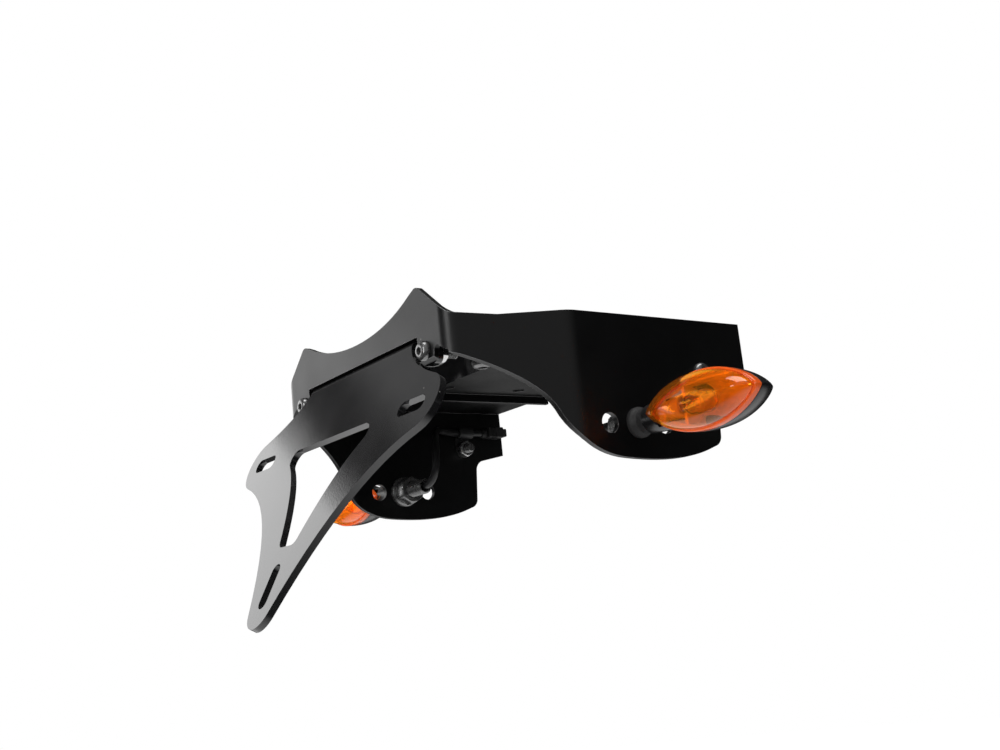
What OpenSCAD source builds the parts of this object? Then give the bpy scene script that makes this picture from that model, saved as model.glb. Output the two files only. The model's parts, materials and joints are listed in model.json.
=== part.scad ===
/* [Number plate blade] */
// Thickness of the folded sheet
sheet = 3; // [2:0.5:4]
// Lean of the blade away from upright, in degrees
blade_tilt = 28; // [20:1:36]
// Height of the top fold above the row of upper slots
fold_height = 33; // [30:1:40]
// Radius inside the top fold
fold_radius = 3; // [2:0.5:5]
// Width of the tongue at the top fold
tongue_w = 93; // [80:1:100]
// Distance between the centres of the two upper slots
slot_spacing = 135; // [125:1:145]
// Distance from the upper slots down to the lower slot
slot_drop = 69.7; // [66:0.5:80]
// Length of a slot
slot_l = 20; // [16:1:24]
// Width of a slot
slot_w = 7; // [5:0.5:8]
// Radius of the rounded ear outside each upper slot
ear_r = 12.8; // [11:0.2:14]
// Radius of the tip below the lower slot
tip_r = 10; // [8.5:0.5:12]

/* [Triangular cut-out] */
// Width between the centres of its upper corners
cutout_w = 62.8; // [50:1:66]
// Distance from the slot row down to the lower corners' centres
cutout_drop = 47.4; // [42:0.2:50]
// Radius of the upper corners
cutout_r = 4.6; // [3:0.2:6]

/* [Bracket flange] */
// Length of the flange forward of the rear wall
flange_l = 56; // [52:1:62]
// Width of the flange at its front end
flange_w = 84; // [78:1:92]
// Distance between flange bolts across the bracket
flange_bolt_x = 60; // [50:1:66]
// Distance between flange bolts along the bracket
flange_bolt_y = 26; // [20:1:30]
// Width of each turned down tab
tab_w = 11; // [10:0.5:12]

/* [Undertray] */
// Wall of the moulding
wall = 2.5; // [2:0.25:3.5]
// Width across the two ear planes
tray_w = 192; // [184:1:200]
// Width across the rear corners
rear_w = 144; // [138:1:150]
// Distance of the rear wall forward of the slot row
rear_y = 16.5; // [15.5:0.25:17.5]
// Distance of the fold between cheek and ear forward of the slot row
cheek_fold_y = 61; // [56:1:64]
// Length of the tray along the bike
tray_l = 142; // [136:1:150]
// Radius of the rear corners
corner_r = 9; // [6:0.5:12]
// Height of the horns beside the lamp recess above the roof
horn_h = 19; // [12:1:24]
// Depth of the lamp recess between the horns
recess_drop = 12; // [6:1:14]
// Height of the roof's stiffening ribs
rib_h = 4; // [2:0.5:6]

/* [Fixing to the bike] */
// Distance between roof holes across the tray
mount_x = 70; // [60:1:76]
// Distance between roof holes along the tray
mount_y = 44; // [36:1:46]
// Radius of the roof holes
mount_r = 3.25; // [2.75:0.25:3.5]

/* [Indicator ears] */
// Depth of the ears below the slot row
ear_drop = 25.2; // [22:0.2:27]
// Height of the ear holes, below the slot row
ear_hole_drop = 11; // [10:0.5:13]
// Distance of the indicator stud forward of the slot row
stud_y = 90.8; // [88:0.2:94]
// Spacing of the holes in each ear
ear_pitch = 15; // [13:0.5:17]
// Radius of the ear holes
ear_hole_r = 4.25; // [4.15:0.05:4.5]

/* [Indicators] */
// Length of the lens
lens_l = 57.4; // [54:0.2:64]
// Height of the lens
lens_h = 23.2; // [22:0.2:28]
// Bulge of the lens to the rear
lens_depth = 10; // [9:0.5:12]
// Depth of the housing to the front
housing_depth = 19.6; // [17:0.2:22]
// Wall of lens and housing
shell_t = 1.8; // [1.4:0.2:2.2]
// Length of the rubber stem outside the ear
stem_l = 8; // [7:0.5:9]
// Radius of the stem at the ear
stem_r = 6.5; // [6:0.25:7.5]
// Radius of the hollow stud
stud_r = 4; // [3.8:0.05:4.1]
// Radius of the bore through the stud
stud_bore_r = 2.5; // [2.4:0.1:3]
// Length of the stud inside the ear
stud_in = 22; // [18:1:26]
// Radius of the bulb
bulb_r = 4.5; // [4:0.25:5]

/* [Fasteners] */
// Radius of the flange bolts
m6_r = 3; // [2.8:0.1:3.2]
// Radius of the rear and side bolts
m5_r = 2.5; // [2.3:0.1:2.7]
// Clearance around a shank
fit = 0.25; // [0.2:0.05:0.4]

/* [Hidden] */
SIDES = ["left", "right"];
$fn = 48;

// Steps along each curved stretch of an outline
steps = 12;
eps = 0.01;
far = 400;

// Place of the blade, folded up from the slot row
fold_out = fold_radius + sheet;
fold_turn = 90 - blade_tilt;
fold_z = fold_height - fold_out;
fold_y = (fold_out + fold_z * sin(blade_tilt)) / cos(blade_tilt);
blade_top = fold_out * tan(fold_turn / 2) - fold_height / cos(blade_tilt) - eps;

// Roof of the tray, seated on the flange
roof_under = fold_height;
roof_top = roof_under + wall;
tray_front = rear_y + tray_l;
mount_setback = 91.5;
mount_at = [0, rear_y + mount_setback, roof_top];

// Flange bolts and the tabs behind the rear wall
flange_bolt_start = rear_y + 20;
notch_gap = 1.5;
tab_in = tongue_w / 2 + notch_gap;
rear_bolt_x = tab_in + notch_gap + tab_w / 2;
rear_bolt_drop = 7.2;
rear_bolt_z = roof_under - rear_bolt_drop;
lug_low = rear_bolt_z - tab_w / 2;
lug_in = tab_in + 2;
tab_y = rear_y + wall;

// Ears and what they carry
ear_out = tray_w / 2;
ear_in = ear_out - wall;
side_bolt_y = 131;
side_bolt_z = 12;
clip_rise = 9;
lead_r = 2;

// Indicator, set out from the ear's outer face
boss_l = 8.4;
boss_r = stem_r;
boss_end = ear_out + stem_l;
pocket_l = 5;
collar_t = 1.5;
collar_r = stud_r + 0.8;
lens_start = boss_end + boss_l - 0.5;
lens_mid = lens_start + lens_l / 2;
lens_z = -ear_hole_drop;
gasket_t = 1;
flange_t = 1;
housing_base = stud_y - collar_r - fit;
gasket_base = housing_base - flange_t;
lens_base = gasket_base - gasket_t;
rib_x = lens_start + lens_l * 0.31;
rib_t = 1.5;
holder_l = 8;
holder_r = 4.6;
bulb_y = housing_base + 0.5;
bulb_l = 14;
neck_r = 3;

// Bolt heads and nuts
m5_head_r = 4.25;
m5_head_h = 2.8;
m5_key = 3;
m5_nut_af = 8;
m5_nut_h = 4;
m6_head_r = 5.25;
m6_head_h = 3.3;
m6_key = 4;
m6_nut_af = 10;
m6_nut_h = 5;
m6_washer_r = 6;
m6_washer_t = 1.6;
stud_washer_r = 8;
stud_washer_t = 1.5;
stud_nut_af = 13;
stud_nut_h = 8;
m6_past_nut = 2;
rear_past_nut = 6;
side_past_nut = 4;

// Points along a curve from a to c, pulled towards b
function curve(a, b, c) = [for (i = [0:steps])
    let (u = i / steps) a * (1 - u) * (1 - u) + b * 2 * u * (1 - u) + c * u * u];

// Points on a circle about c, from angle a to angle b
function arc(c, r, a, b) = [for (i = [0:steps])
    let (t = a + (b - a) * i / steps) c + r * [cos(t), sin(t)]];

// The mirror image of a path, walked backwards
function mirrored(path) = [for (i = [len(path) - 1:-1:0]) [-path[i][0], path[i][1]]];

// A unit vector along v
function unit(v) = v / norm(v);

// A corner at p between a and b, rounded to radius r
function fillet(a, p, b, r) =
    let (u = unit(a - p), v = unit(b - p), half = acos(u * v) / 2, run = r / tan(half),
        c = p + unit(u + v) * r / sin(half), s = p + u * run - c, e = p + v * run - c,
        from = atan2(s[1], s[0]), turn = atan2(e[1], e[0]) - from,
        short = turn > 180 ? turn - 360 : turn < -180 ? turn + 360 : turn)
    r < eps ? [p] : arc(c, r, from, from + short);

// A closed outline from corners given as [x, y, radius]
function rounded(corners) = let (n = len(corners)) [for (i = [0:n - 1])
    let (a = corners[(i + n - 1) % n], p = corners[i], b = corners[(i + 1) % n])
    each fillet([a[0], a[1]], [p[0], p[1]], [b[0], b[1]], p[2])];

// The same kind of corners, moved inwards by d on an outline that runs anticlockwise
function inset(corners, d) = let (n = len(corners)) [for (i = [0:n - 1])
    let (a = corners[(i + n - 1) % n], p = corners[i], b = corners[(i + 1) % n],
        u = unit([p[0] - a[0], p[1] - a[1]]), v = unit([b[0] - p[0], b[1] - p[1]]),
        nu = [-u[1], u[0]], nv = [-v[1], v[0]], move = (nu + nv) * d / (1 + nu * nv),
        convex = u[0] * v[1] - u[1] * v[0] > 0)
    [p[0] + move[0], p[1] + move[1], p[2] < eps ? 0 : max(0, p[2] + (convex ? -d : d))]];

// Stand a flat outline up across the part, its y becoming height
module across(length) {
    rotate([90, 0, 0]) translate([0, 0, -length]) linear_extrude(length) children();
}

// Stand a flat outline up along the part: its x becomes the part's y and its y becomes height
module along(width) {
    rotate([90, 0, 90]) translate([0, 0, -width / 2]) linear_extrude(width) children();
}

// A cylinder along the part's x, its start at the origin
module bar_x(r, l) {
    rotate([0, 90, 0]) cylinder(r = r, h = l);
}

// A cylinder along the part's y, its start at the origin
module bar_y(r, l) {
    rotate([-90, 0, 0]) cylinder(r = r, h = l);
}

// Draw on one side of the part
module on_side(side) {
    if (side == "left") mirror([1, 0, 0]) children();
    else children();
}

// Put the part's origin at the centre of the roof holes
module placed() {
    translate(-mount_at) children();
}

// Repeat at each flange bolt
module at_flange_bolts() {
    for (x = [-1, 1], y = [0, 1])
        translate([x * flange_bolt_x / 2, flange_bolt_start + y * flange_bolt_y, 0]) children();
}

// Repeat at each roof hole
module at_mount_holes() {
    for (x = [-1, 1], y = [-1, 1])
        translate([x * mount_x / 2, mount_at[1] + y * mount_y / 2, 0]) children();
}

// A slot through flat stock, its length along x
module slot_cut(l, w) {
    reach = (l - w) / 2;
    for (x = [-reach, reach]) translate([x, 0, -sheet]) cylinder(d = w, h = 3 * sheet);
    translate([-reach, -w / 2, -sheet]) cube([2 * reach, w, 3 * sheet]);
}

// Right half of the blade's outline, from the fold down to the tip
ear_centre = [slot_spacing / 2 + 6.2, -0.5];
ear_tangent = 72;
tip_centre = [0, slot_drop + 8.8];
tip_tangent = 23;
shoulder_pull = [tongue_w / 2 + 5.8, blade_top + 11.7];
waist_pull = [33, 25.5];
function on_circle(c, r, a) = c + r * [cos(a), sin(a)];
blade_half = concat(
    curve([tongue_w / 2, blade_top], shoulder_pull, on_circle(ear_centre, ear_r, -ear_tangent)),
    arc(ear_centre, ear_r, -ear_tangent, ear_tangent),
    curve(on_circle(ear_centre, ear_r, ear_tangent), waist_pull,
        on_circle(tip_centre, tip_r, tip_tangent)),
    arc(tip_centre, tip_r, tip_tangent, 90));

// Right half of the cut-out's outline, from its top edge down
cutout_corner = [cutout_w / 2, cutout_r - 0.5];
cutout_foot = [4.2, cutout_drop];
foot_r = 4.3;
corner_turn = 50;
cutout_half = concat(
    arc(cutout_corner, cutout_r, -90, corner_turn),
    curve(on_circle(cutout_corner, cutout_r, corner_turn), [18.5, 20.8], on_circle(cutout_foot, foot_r, 21)),
    arc(cutout_foot, foot_r, 21, 90));

// The blade, lying flat with its visible face at z = 0
module blade_flat() {
    difference() {
        linear_extrude(sheet) difference() {
            polygon(concat(blade_half, mirrored(blade_half)));
            polygon(concat(cutout_half, mirrored(cutout_half)));
        }
        for (x = [-1, 1]) translate([x * slot_spacing / 2, 0, 0]) slot_cut(slot_l, slot_w);
        translate([0, slot_drop, 0]) rotate([0, 0, 90]) slot_cut(slot_l, slot_w);
    }
}

// The rounded fold between blade and flange
module top_fold() {
    rotate([90, 0, 90]) translate([fold_y, fold_z, 0]) rotate([0, 0, 90])
        rotate_extrude(angle = fold_turn, $fn = 96)
            translate([fold_radius, -tongue_w / 2]) square([sheet, tongue_w]);
}

// Outline of the flange: narrow at the fold, with a wing to each tab
wing_front = rear_y + 30;
flange_front = rear_y + flange_l;
wing_x = tab_in + notch_gap + tab_w;
flange_corners = [
    [tongue_w / 2, fold_y - eps, 0], [tongue_w / 2, fold_y + 5, 1], [tab_in + notch_gap, fold_y + 5, 1],
    [tab_in + notch_gap, tab_y, 0], [wing_x, tab_y, 0], [wing_x, wing_front - 6, 5],
    [flange_w / 2, wing_front + 2, 8], [flange_w / 2, flange_front, 8]];
function flange_outline() = let (half = [for (i = [0:len(flange_corners) - 1])
    let (n = len(flange_corners), a = flange_corners[max(0, i - 1)], p = flange_corners[i],
        b = flange_corners[min(n - 1, i + 1)], next = i == n - 1 ? [0, p[1]] : [b[0], b[1]])
    each fillet([a[0], a[1]], [p[0], p[1]], next, i == 0 ? 0 : p[2])])
    concat(half, mirrored(half));

// A tab turned down behind the rear wall
module bracket_tab() {
    difference() {
        translate([rear_bolt_x, tab_y, 0]) across(sheet) polygon(rounded([
            [-tab_w / 2, fold_height, 0], [-tab_w / 2, lug_low, 3], [tab_w / 2, lug_low, 3],
            [tab_w / 2, fold_height, 0]]));
        translate([rear_bolt_x, 0, rear_bolt_z]) bar_y(m5_r + fit, far);
    }
}

// The number plate bracket: one folded sheet
module plate_bracket() {
    color([0.13, 0.13, 0.14]) placed() {
        rotate([-90 - blade_tilt, 0, 0]) blade_flat();
        top_fold();
        difference() {
            translate([0, 0, fold_height - sheet]) linear_extrude(sheet) polygon(flange_outline());
            at_flange_bolts() cylinder(r = m6_r + fit, h = far);
        }
        for (side = SIDES) on_side(side) bracket_tab();
    }
}

// Plan of the tray's outside, anticlockwise, its front end open beyond the roof
function plan_corners(front) = [
    [rear_w / 2, rear_y, corner_r], [tray_w / 2, cheek_fold_y, 14], [tray_w / 2, front, 0],
    [-tray_w / 2, front, 0], [-tray_w / 2, cheek_fold_y, 14], [-rear_w / 2, rear_y, corner_r]];

// The walls in plan
module wall_plan() {
    outer = plan_corners(tray_front);
    difference() {
        polygon(rounded(outer));
        polygon(rounded(inset(plan_corners(tray_front + 2 * wall), wall)));
    }
}

// Side view of the walls: the lower edge runs down the cheek and round the ear
ear_front = stud_y + 47;
ear_back = stud_y - 37.3;
ear_toe = [ear_front, -ear_drop + 6.2];
ear_heel = [ear_front - 8, -ear_drop + 3.4];
module side_view() {
    cheek = curve([rear_y - 1, 22.5], [ear_back - 6.5, 9.5], [ear_back, -4.8]);
    ear = concat(curve([ear_back, -4.8], [ear_back + 7.5, -ear_drop + 1.7], [stud_y - 7, -ear_drop]),
        curve([stud_y - 7, -ear_drop], [stud_y + 22, -ear_drop - 2.4], ear_heel),
        fillet(ear_heel, ear_toe, [ear_front + 2, 5], 5));
    polygon(concat([[rear_y - 1, far]], cheek, ear,
        fillet(ear_toe, [ear_front + 2, 5], [tray_front, 9], 6),
        [[tray_front + 1, 9], [tray_front + 1, far]]));
}

// Rear view of the walls: the recess for the lamp above, the notch for the tongue below
horn_x = rear_w / 2 - 20;
horn_z = roof_top + horn_h;
recess_z = horn_z - recess_drop;
lug_out = wing_x + notch_gap;
module rear_view() {
    half = concat(
        [[0, roof_under], [lug_in, roof_under]],
        fillet([lug_in, roof_under], [lug_in, lug_low], [lug_out, lug_low], 3),
        fillet([lug_in, lug_low], [lug_out, lug_low], [lug_out, roof_under], 3),
        fillet([lug_out, lug_low], [lug_out + 0.5, rear_bolt_z + 2], [rear_w / 2, 22], 2),
        [[rear_w / 2 - 1, 22.5], [rear_w / 2 - 1, -far], [tray_w, -far], [tray_w, roof_top],
            [rear_w / 2 + 10, roof_top]],
        fillet([rear_w / 2 + 10, roof_top], [rear_w / 2, roof_top + 2.5], [horn_x, horn_z], 4),
        fillet([rear_w / 2, roof_top + 2.5], [horn_x, horn_z], [horn_x - 12, horn_z - 6], 4));
    recess = curve([horn_x - 6, horn_z - 2.6], [horn_x - 26, recess_z], [0, recess_z]);
    polygon(concat(half, recess, [for (i = [len(recess) - 2:-1:0]) [-recess[i][0], recess[i][1]]],
        [for (i = [len(half) - 1:-1:1]) [-half[i][0], half[i][1]]]));
}

// Ribs under the roof, running forward beside the flange
module roof_ribs() {
    rib_start = wing_front + 8;
    for (x = [-1, 1])
        translate([x * (flange_w / 2 + 6) - wall / 2, rib_start, roof_under - rib_h])
            cube([wall, tray_front - rib_start, rib_h + eps]);
}

// The undertray: one moulding with a roof, two cheeks, two ears and a rear wall
module undertray() {
    color([0.07, 0.07, 0.075]) placed() difference() {
        union() {
            intersection() {
                translate([0, 0, -far / 4]) linear_extrude(far / 2) wall_plan();
                along(2 * far) side_view();
                across(far) rear_view();
            }
            translate([0, 0, roof_under]) linear_extrude(wall)
                polygon(rounded(plan_corners(tray_front)));
            roof_ribs();
        }
        at_flange_bolts() cylinder(r = m6_r + fit, h = far);
        at_mount_holes() cylinder(r = mount_r, h = far);
        for (y = [-ear_pitch, 0, ear_pitch])
            translate([-far / 2, stud_y + y, -ear_hole_drop]) bar_x(ear_hole_r, far);
        translate([-far / 2, side_bolt_y, side_bolt_z]) bar_x(m5_r + fit, far);
        for (x = [-1, 1]) translate([x * rear_bolt_x, 0, rear_bolt_z]) bar_y(m5_r + fit, tab_y + 1);
    }
}

// A button headed bolt: head above z = 0, shank below, with a hexagon socket
module button_bolt(r, head_r, head_h, shank, key) {
    difference() {
        union() {
            rotate_extrude() polygon(concat([[0, 0]], [[head_r, 0], [head_r, head_h * 0.25]],
                curve([head_r, head_h * 0.25], [head_r * 0.85, head_h], [head_r * 0.5, head_h]),
                [[0, head_h]]));
            rotate_extrude() polygon([[0, eps], [r, eps], [r, -shank + 0.6], [r - 0.6, -shank],
                [0, -shank]]);
        }
        translate([0, 0, head_h * 0.4]) cylinder(d = key, h = head_h, $fn = 6);
    }
}

// A hexagon nut on z = 0 with chamfered top corners
module hex_nut(af, h, bore) {
    difference() {
        intersection() {
            cylinder(d = af / cos(30), h = h, $fn = 6);
            rotate_extrude() polygon([[0, 0], [af * 0.62, 0], [af * 0.62, h - af * 0.09],
                [af * 0.5, h], [0, h]]);
        }
        translate([0, 0, -1]) cylinder(r = bore, h = h + 2);
    }
}

// A flat washer on z = 0
module washer(r, bore, t) {
    difference() {
        cylinder(r = r, h = t);
        translate([0, 0, -1]) cylinder(r = bore, h = t + 2);
    }
}

// Bolts that hold the flange under the roof, heads below
module flange_bolts() {
    grip = sheet + wall + m6_washer_t + m6_nut_h + m6_past_nut;
    color([0.16, 0.16, 0.17]) placed() at_flange_bolts()
        translate([0, 0, fold_height - sheet]) mirror([0, 0, 1])
            button_bolt(m6_r, m6_head_r, m6_head_h, grip, m6_key);
}

// Washers under the flange nuts
module flange_washers() {
    color([0.72, 0.73, 0.75]) placed() at_flange_bolts() translate([0, 0, roof_top])
        washer(m6_washer_r, m6_r + fit, m6_washer_t);
}

// Nuts on the flange bolts, above the roof
module flange_nuts() {
    color([0.72, 0.73, 0.75]) placed() at_flange_bolts()
        translate([0, 0, roof_top + m6_washer_t]) hex_nut(m6_nut_af, m6_nut_h, m6_r + fit / 2);
}

// Bolt through the rear wall's lug and the tab, head to the rear
module rear_bolt(side) {
    color([0.16, 0.16, 0.17]) placed() on_side(side)
        translate([rear_bolt_x, rear_y, rear_bolt_z]) rotate([90, 0, 0])
            button_bolt(m5_r, m5_head_r, m5_head_h, wall + sheet + m5_nut_h + rear_past_nut, m5_key);
}

// Nut on the rear bolt, in front of the tab
module rear_nut(side) {
    color([0.72, 0.73, 0.75]) placed() on_side(side)
        translate([rear_bolt_x, tab_y + sheet, rear_bolt_z]) rotate([-90, 0, 0])
            hex_nut(m5_nut_af, m5_nut_h, m5_r + fit / 2);
}

// Thickness of the lead clip's band
band = 1;

// Bolt through the ear and the lead clip, head outside
module side_bolt(side) {
    color([0.16, 0.16, 0.17]) placed() on_side(side)
        translate([ear_out, side_bolt_y, side_bolt_z]) rotate([0, 90, 0])
            button_bolt(m5_r, m5_head_r, m5_head_h, wall + band + m5_nut_h + side_past_nut, m5_key);
}

// Nut on the side bolt, inside the clip
module side_nut(side) {
    color([0.72, 0.73, 0.75]) placed() on_side(side)
        translate([ear_in - band, side_bolt_y, side_bolt_z]) rotate([0, -90, 0])
            hex_nut(m5_nut_af, m5_nut_h, m5_r + fit / 2);
}

// Clip that loops over the lead, its tail under the side nut
clip_r = lead_r + 0.3;
clip_w = 9;
module lead_clip(side) {
    ring_x = ear_in - clip_r - band;
    ring_z = side_bolt_z + clip_rise;
    color([0.1, 0.1, 0.1]) placed() on_side(side) difference() {
        union() {
            translate([ring_x, side_bolt_y - clip_w / 2, ring_z]) bar_y(clip_r + band, clip_w);
            translate([ear_in - band, side_bolt_y - clip_w / 2, side_bolt_z - clip_w / 2])
                cube([band, clip_w, clip_rise + clip_w / 2]);
        }
        translate([ring_x, side_bolt_y - clip_w, ring_z]) bar_y(clip_r, 2 * clip_w);
        translate([0, side_bolt_y, side_bolt_z]) bar_x(m5_r + fit, far);
    }
}

// Route of the right lead: inside the stud, up the cheek, along to the clip and the plug
LEAD = [[96, 91, -11], [84, 91, -11], [76, 91, -11], [71, 91, -10.9], [66.8, 91, -10],
    [63.2, 91, -7.8], [60.8, 91, -4.5], [59.8, 91.2, -0.5], [60.1, 91.8, 3.8], [61.8, 93.1, 8.2],
    [64.8, 95.2, 12.2], [68.9, 98.2, 15.6], [73.8, 102.1, 18.3], [78.8, 106.6, 20.1],
    [83.4, 111.3, 20.9], [86.9, 116.2, 21], [89.1, 121.4, 21], [90, 127, 21], [90, 136, 21],
    [90, 142, 21]];

// Rings of a tube along a path, each square to the path's direction
tube_sides = 8;
function lead_rings(path, r) = let (n = len(path), look = unit([1, 1, -1]))
    [for (i = [0:n - 1])
        let (d = unit(path[min(n - 1, i + 1)] - path[max(0, i - 1)]),
            u = unit(cross(d, look)), v = cross(d, u))
        for (k = [0:tube_sides - 1])
            path[i] + r * (u * cos(360 * k / tube_sides) + v * sin(360 * k / tube_sides))];
function tube_faces(n, m) = concat(
    [[for (k = [0:m - 1]) m - 1 - k]],
    [for (i = [0:n - 2], k = [0:m - 1]) let (l = (k + 1) % m)
        each [[i * m + k, i * m + l, (i + 1) * m + l], [i * m + k, (i + 1) * m + l, (i + 1) * m + k]]],
    [[for (k = [0:m - 1]) (n - 1) * m + k]]);
lead_end = LEAD[len(LEAD) - 1];
function lead_place(p) = [p[0] - lead_end[0] + ear_in - clip_r - band, p[1], p[2]];

// The indicator's lead
module lead(side) {
    path = [for (p = LEAD) lead_place(p)];
    color([0.06, 0.06, 0.06]) placed() on_side(side)
        polyhedron(lead_rings(path, lead_r), tube_faces(len(path), tube_sides), convexity = 4);
}

// Plug on the end of the lead: a round seal, a body that reaches further inwards, and a nose
plug_l = 16;
plug_seal_l = 3;
plug_body = [7.5, plug_l - 2 * plug_seal_l, 6];
plug_nose = [6.4, plug_seal_l, 4.4];
plug_out = 3;
module lead_plug(side) {
    color([0.12, 0.12, 0.12]) placed() on_side(side) translate(lead_place(lead_end)) {
        bar_y(lead_r + 0.8, plug_seal_l);
        translate([plug_out - plug_body[0], plug_seal_l - eps, -plug_body[2] / 2]) cube(plug_body);
        translate([-plug_nose[0] / 2, plug_l - plug_seal_l - 2 * eps, -plug_nose[2] / 2])
            cube(plug_nose);
    }
}

// Put an indicator piece turned about the stud, its height along x
module on_stud(x) {
    translate([x, stud_y, -ear_hole_drop]) rotate([0, 90, 0]) children();
}

// Rubber stem between the ear and the housing
module stem(side) {
    color([0.2, 0.2, 0.21]) placed() on_side(side) on_stud(ear_out)
        rotate_extrude() polygon(concat([[stud_r + fit, 0], [stem_r, 0], [stem_r, 2]],
            curve([stem_r, 2], [stem_r - 1.4, 3.5], [stem_r - 1.2, stem_l - 1]),
            [[stem_r - 1.2, stem_l], [stud_r + fit, stem_l]]));
}

// Hollow threaded stud through the ear, with a collar inside the housing
module stud(side) {
    l = stud_in + wall + stem_l + boss_l;
    color([0.16, 0.16, 0.17]) placed() on_side(side) difference() {
        union() {
            on_stud(ear_in - stud_in) rotate_extrude() polygon([[0, 0], [stud_r - 0.7, 0],
                [stud_r, 0.7], [stud_r, l], [0, l]]);
            on_stud(boss_end + boss_l) cylinder(r = collar_r, h = collar_t);
        }
        on_stud(0) cylinder(r = stud_bore_r, h = far);
    }
}

// Washer inside the ear
module stud_washer(side) {
    color([0.16, 0.16, 0.17]) placed() on_side(side) on_stud(ear_in - stud_washer_t)
        washer(stud_washer_r, stud_r + fit, stud_washer_t);
}

// Flanged nut on the stud
module stud_nut(side) {
    flange_h = 1.6;
    color([0.16, 0.16, 0.17]) placed() on_side(side)
        translate([ear_in - stud_washer_t, stud_y, -ear_hole_drop]) rotate([0, -90, 0])
            difference() {
                union() {
                    rotate_extrude() polygon([[0, 0], [stud_washer_r - 0.2, 0],
                        [stud_washer_r - 0.2, 0.6], [stud_nut_af / 2, flange_h], [0, flange_h]]);
                    translate([0, 0, flange_h / 2])
                        hex_nut(stud_nut_af, stud_nut_h - flange_h / 2, stud_r + fit / 2);
                }
                translate([0, 0, -1]) cylinder(r = stud_r + fit / 2, h = far);
            }
}

// Teardrop outline of the lens, half length a and half height b
drop_points = 40;
point_power = 1.5;
function drop(a, b) = [for (i = [0:drop_points - 1]) let (t = 360 * i / drop_points)
    [a * cos(t), b * sign(sin(t)) * pow(abs(sin(t)), point_power)]];

// A dome on the teardrop outline: bulges by depth along y, towards the sign of depth
dome_rings = 7;
dome_turn = 84;
function dome_points(a, b, base, depth) = [for (k = [0:dome_rings - 1], p = drop(a, b))
    let (t = dome_turn * k / (dome_rings - 1))
    [lens_mid + p[0] * cos(t), base + depth * sin(t), lens_z + p[1] * cos(t)]];
module dome(inner, base, depth) {
    a = lens_l / 2 - inner;
    b = lens_h / 2 - inner;
    skirt = [for (p = drop(a, b)) [lens_mid + p[0], base - sign(depth), lens_z + p[1]]];
    rings = concat(inner > 0 ? skirt : [], dome_points(a, b, base, depth));
    n = len(rings) / drop_points;
    faces = tube_faces(n, drop_points);
    turned = [for (f = faces) [for (i = [len(f) - 1:-1:0]) f[i]]];
    polyhedron(rings, depth > 0 ? faces : turned, convexity = 4);
}

// A flat plate on the teardrop outline, from y to y + t
module drop_plate(inner, y, t) {
    translate([lens_mid, y, lens_z]) across(t) polygon(drop(lens_l / 2 - inner, lens_h / 2 - inner));
}

// Amber lens, open towards the housing
module lens(side) {
    color([1, 0.42, 0.02]) placed() on_side(side) difference() {
        dome(0, lens_base, -lens_depth);
        dome(shell_t, lens_base, shell_t - lens_depth);
    }
}

// Seal between lens and reflector
module gasket(side) {
    color([0.25, 0.03, 0.02]) placed() on_side(side) difference() {
        drop_plate(0.4, lens_base, gasket_t);
        drop_plate(shell_t, lens_base - 1, gasket_t + 2);
    }
}

// Housing, open towards the lens, with a boss on the stud's line and a pocket for the stud's collar
module housing(side) {
    pocket_r = collar_r + fit;
    color([0.08, 0.08, 0.085]) placed() on_side(side) difference() {
        union() {
            dome(0, housing_base, housing_depth);
            on_stud(boss_end) cylinder(r1 = boss_r - 0.6, r2 = boss_r, h = boss_l);
            on_stud(boss_end + boss_l) cylinder(r = boss_r, h = pocket_l + shell_t);
        }
        dome(shell_t, housing_base, housing_depth - shell_t);
        translate([lens_start - 0.3, housing_base - far, -far / 2]) cube([far, far, far]);
        on_stud(boss_end - 1) cylinder(r = stud_r + fit, h = boss_l + 2);
        on_stud(boss_end + boss_l) cylinder(r = pocket_r, h = pocket_l);
        translate([boss_end + boss_l, stud_y - boss_r - 1, lens_z - pocket_r])
            cube([pocket_l, boss_r + 1, 2 * pocket_r]);
    }
}

// Bright reflector: a rim under the seal, a dish behind the bulb and a rib with its hole
dish_depth = 11;
module reflector(side) {
    color([0.85, 0.86, 0.88]) placed() on_side(side) difference() {
        union() {
            drop_plate(0.4, gasket_base, flange_t);
            intersection() {
                dome(shell_t + 0.6, housing_base, dish_depth);
                translate([rib_x, 0, -far / 2]) cube([far, far, far]);
            }
        }
        intersection() {
            dome(shell_t + 1.8, housing_base, dish_depth - 1.2);
            translate([rib_x + rib_t, 0, -far / 2]) cube([far, far, far]);
        }
        difference() {
            drop_plate(shell_t, gasket_base - 1, flange_t + 2);
            translate([rib_x, 0, -far / 2]) cube([far, far, far]);
        }
        translate([rib_x - 1, bulb_y, lens_z]) bar_x(neck_r + fit, rib_t + 2);
    }
}

// Holder behind the reflector's rib
module bulb_holder(side) {
    color([0.75, 0.76, 0.74]) placed() on_side(side) translate([rib_x - holder_l, bulb_y, lens_z])
        difference() {
            bar_x(holder_r, holder_l);
            translate([2, 0, 0]) bar_x(neck_r + fit, holder_l);
        }
}

// Bulb: a glass capsule with a neck in the holder
module bulb(side) {
    tip = bulb_r;
    color([1, 0.62, 0.2]) placed() on_side(side) translate([rib_x + rib_t, bulb_y, lens_z])
        rotate([0, 90, 0]) rotate_extrude() polygon(concat(
            [[0, 2 - holder_l - rib_t], [neck_r, 2 - holder_l - rib_t], [neck_r, 0], [bulb_r, 0]],
            [for (i = [0:steps]) let (t = 90 * i / steps)
                [bulb_r * cos(t), bulb_l - tip + tip * sin(t)]]));
}

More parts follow.
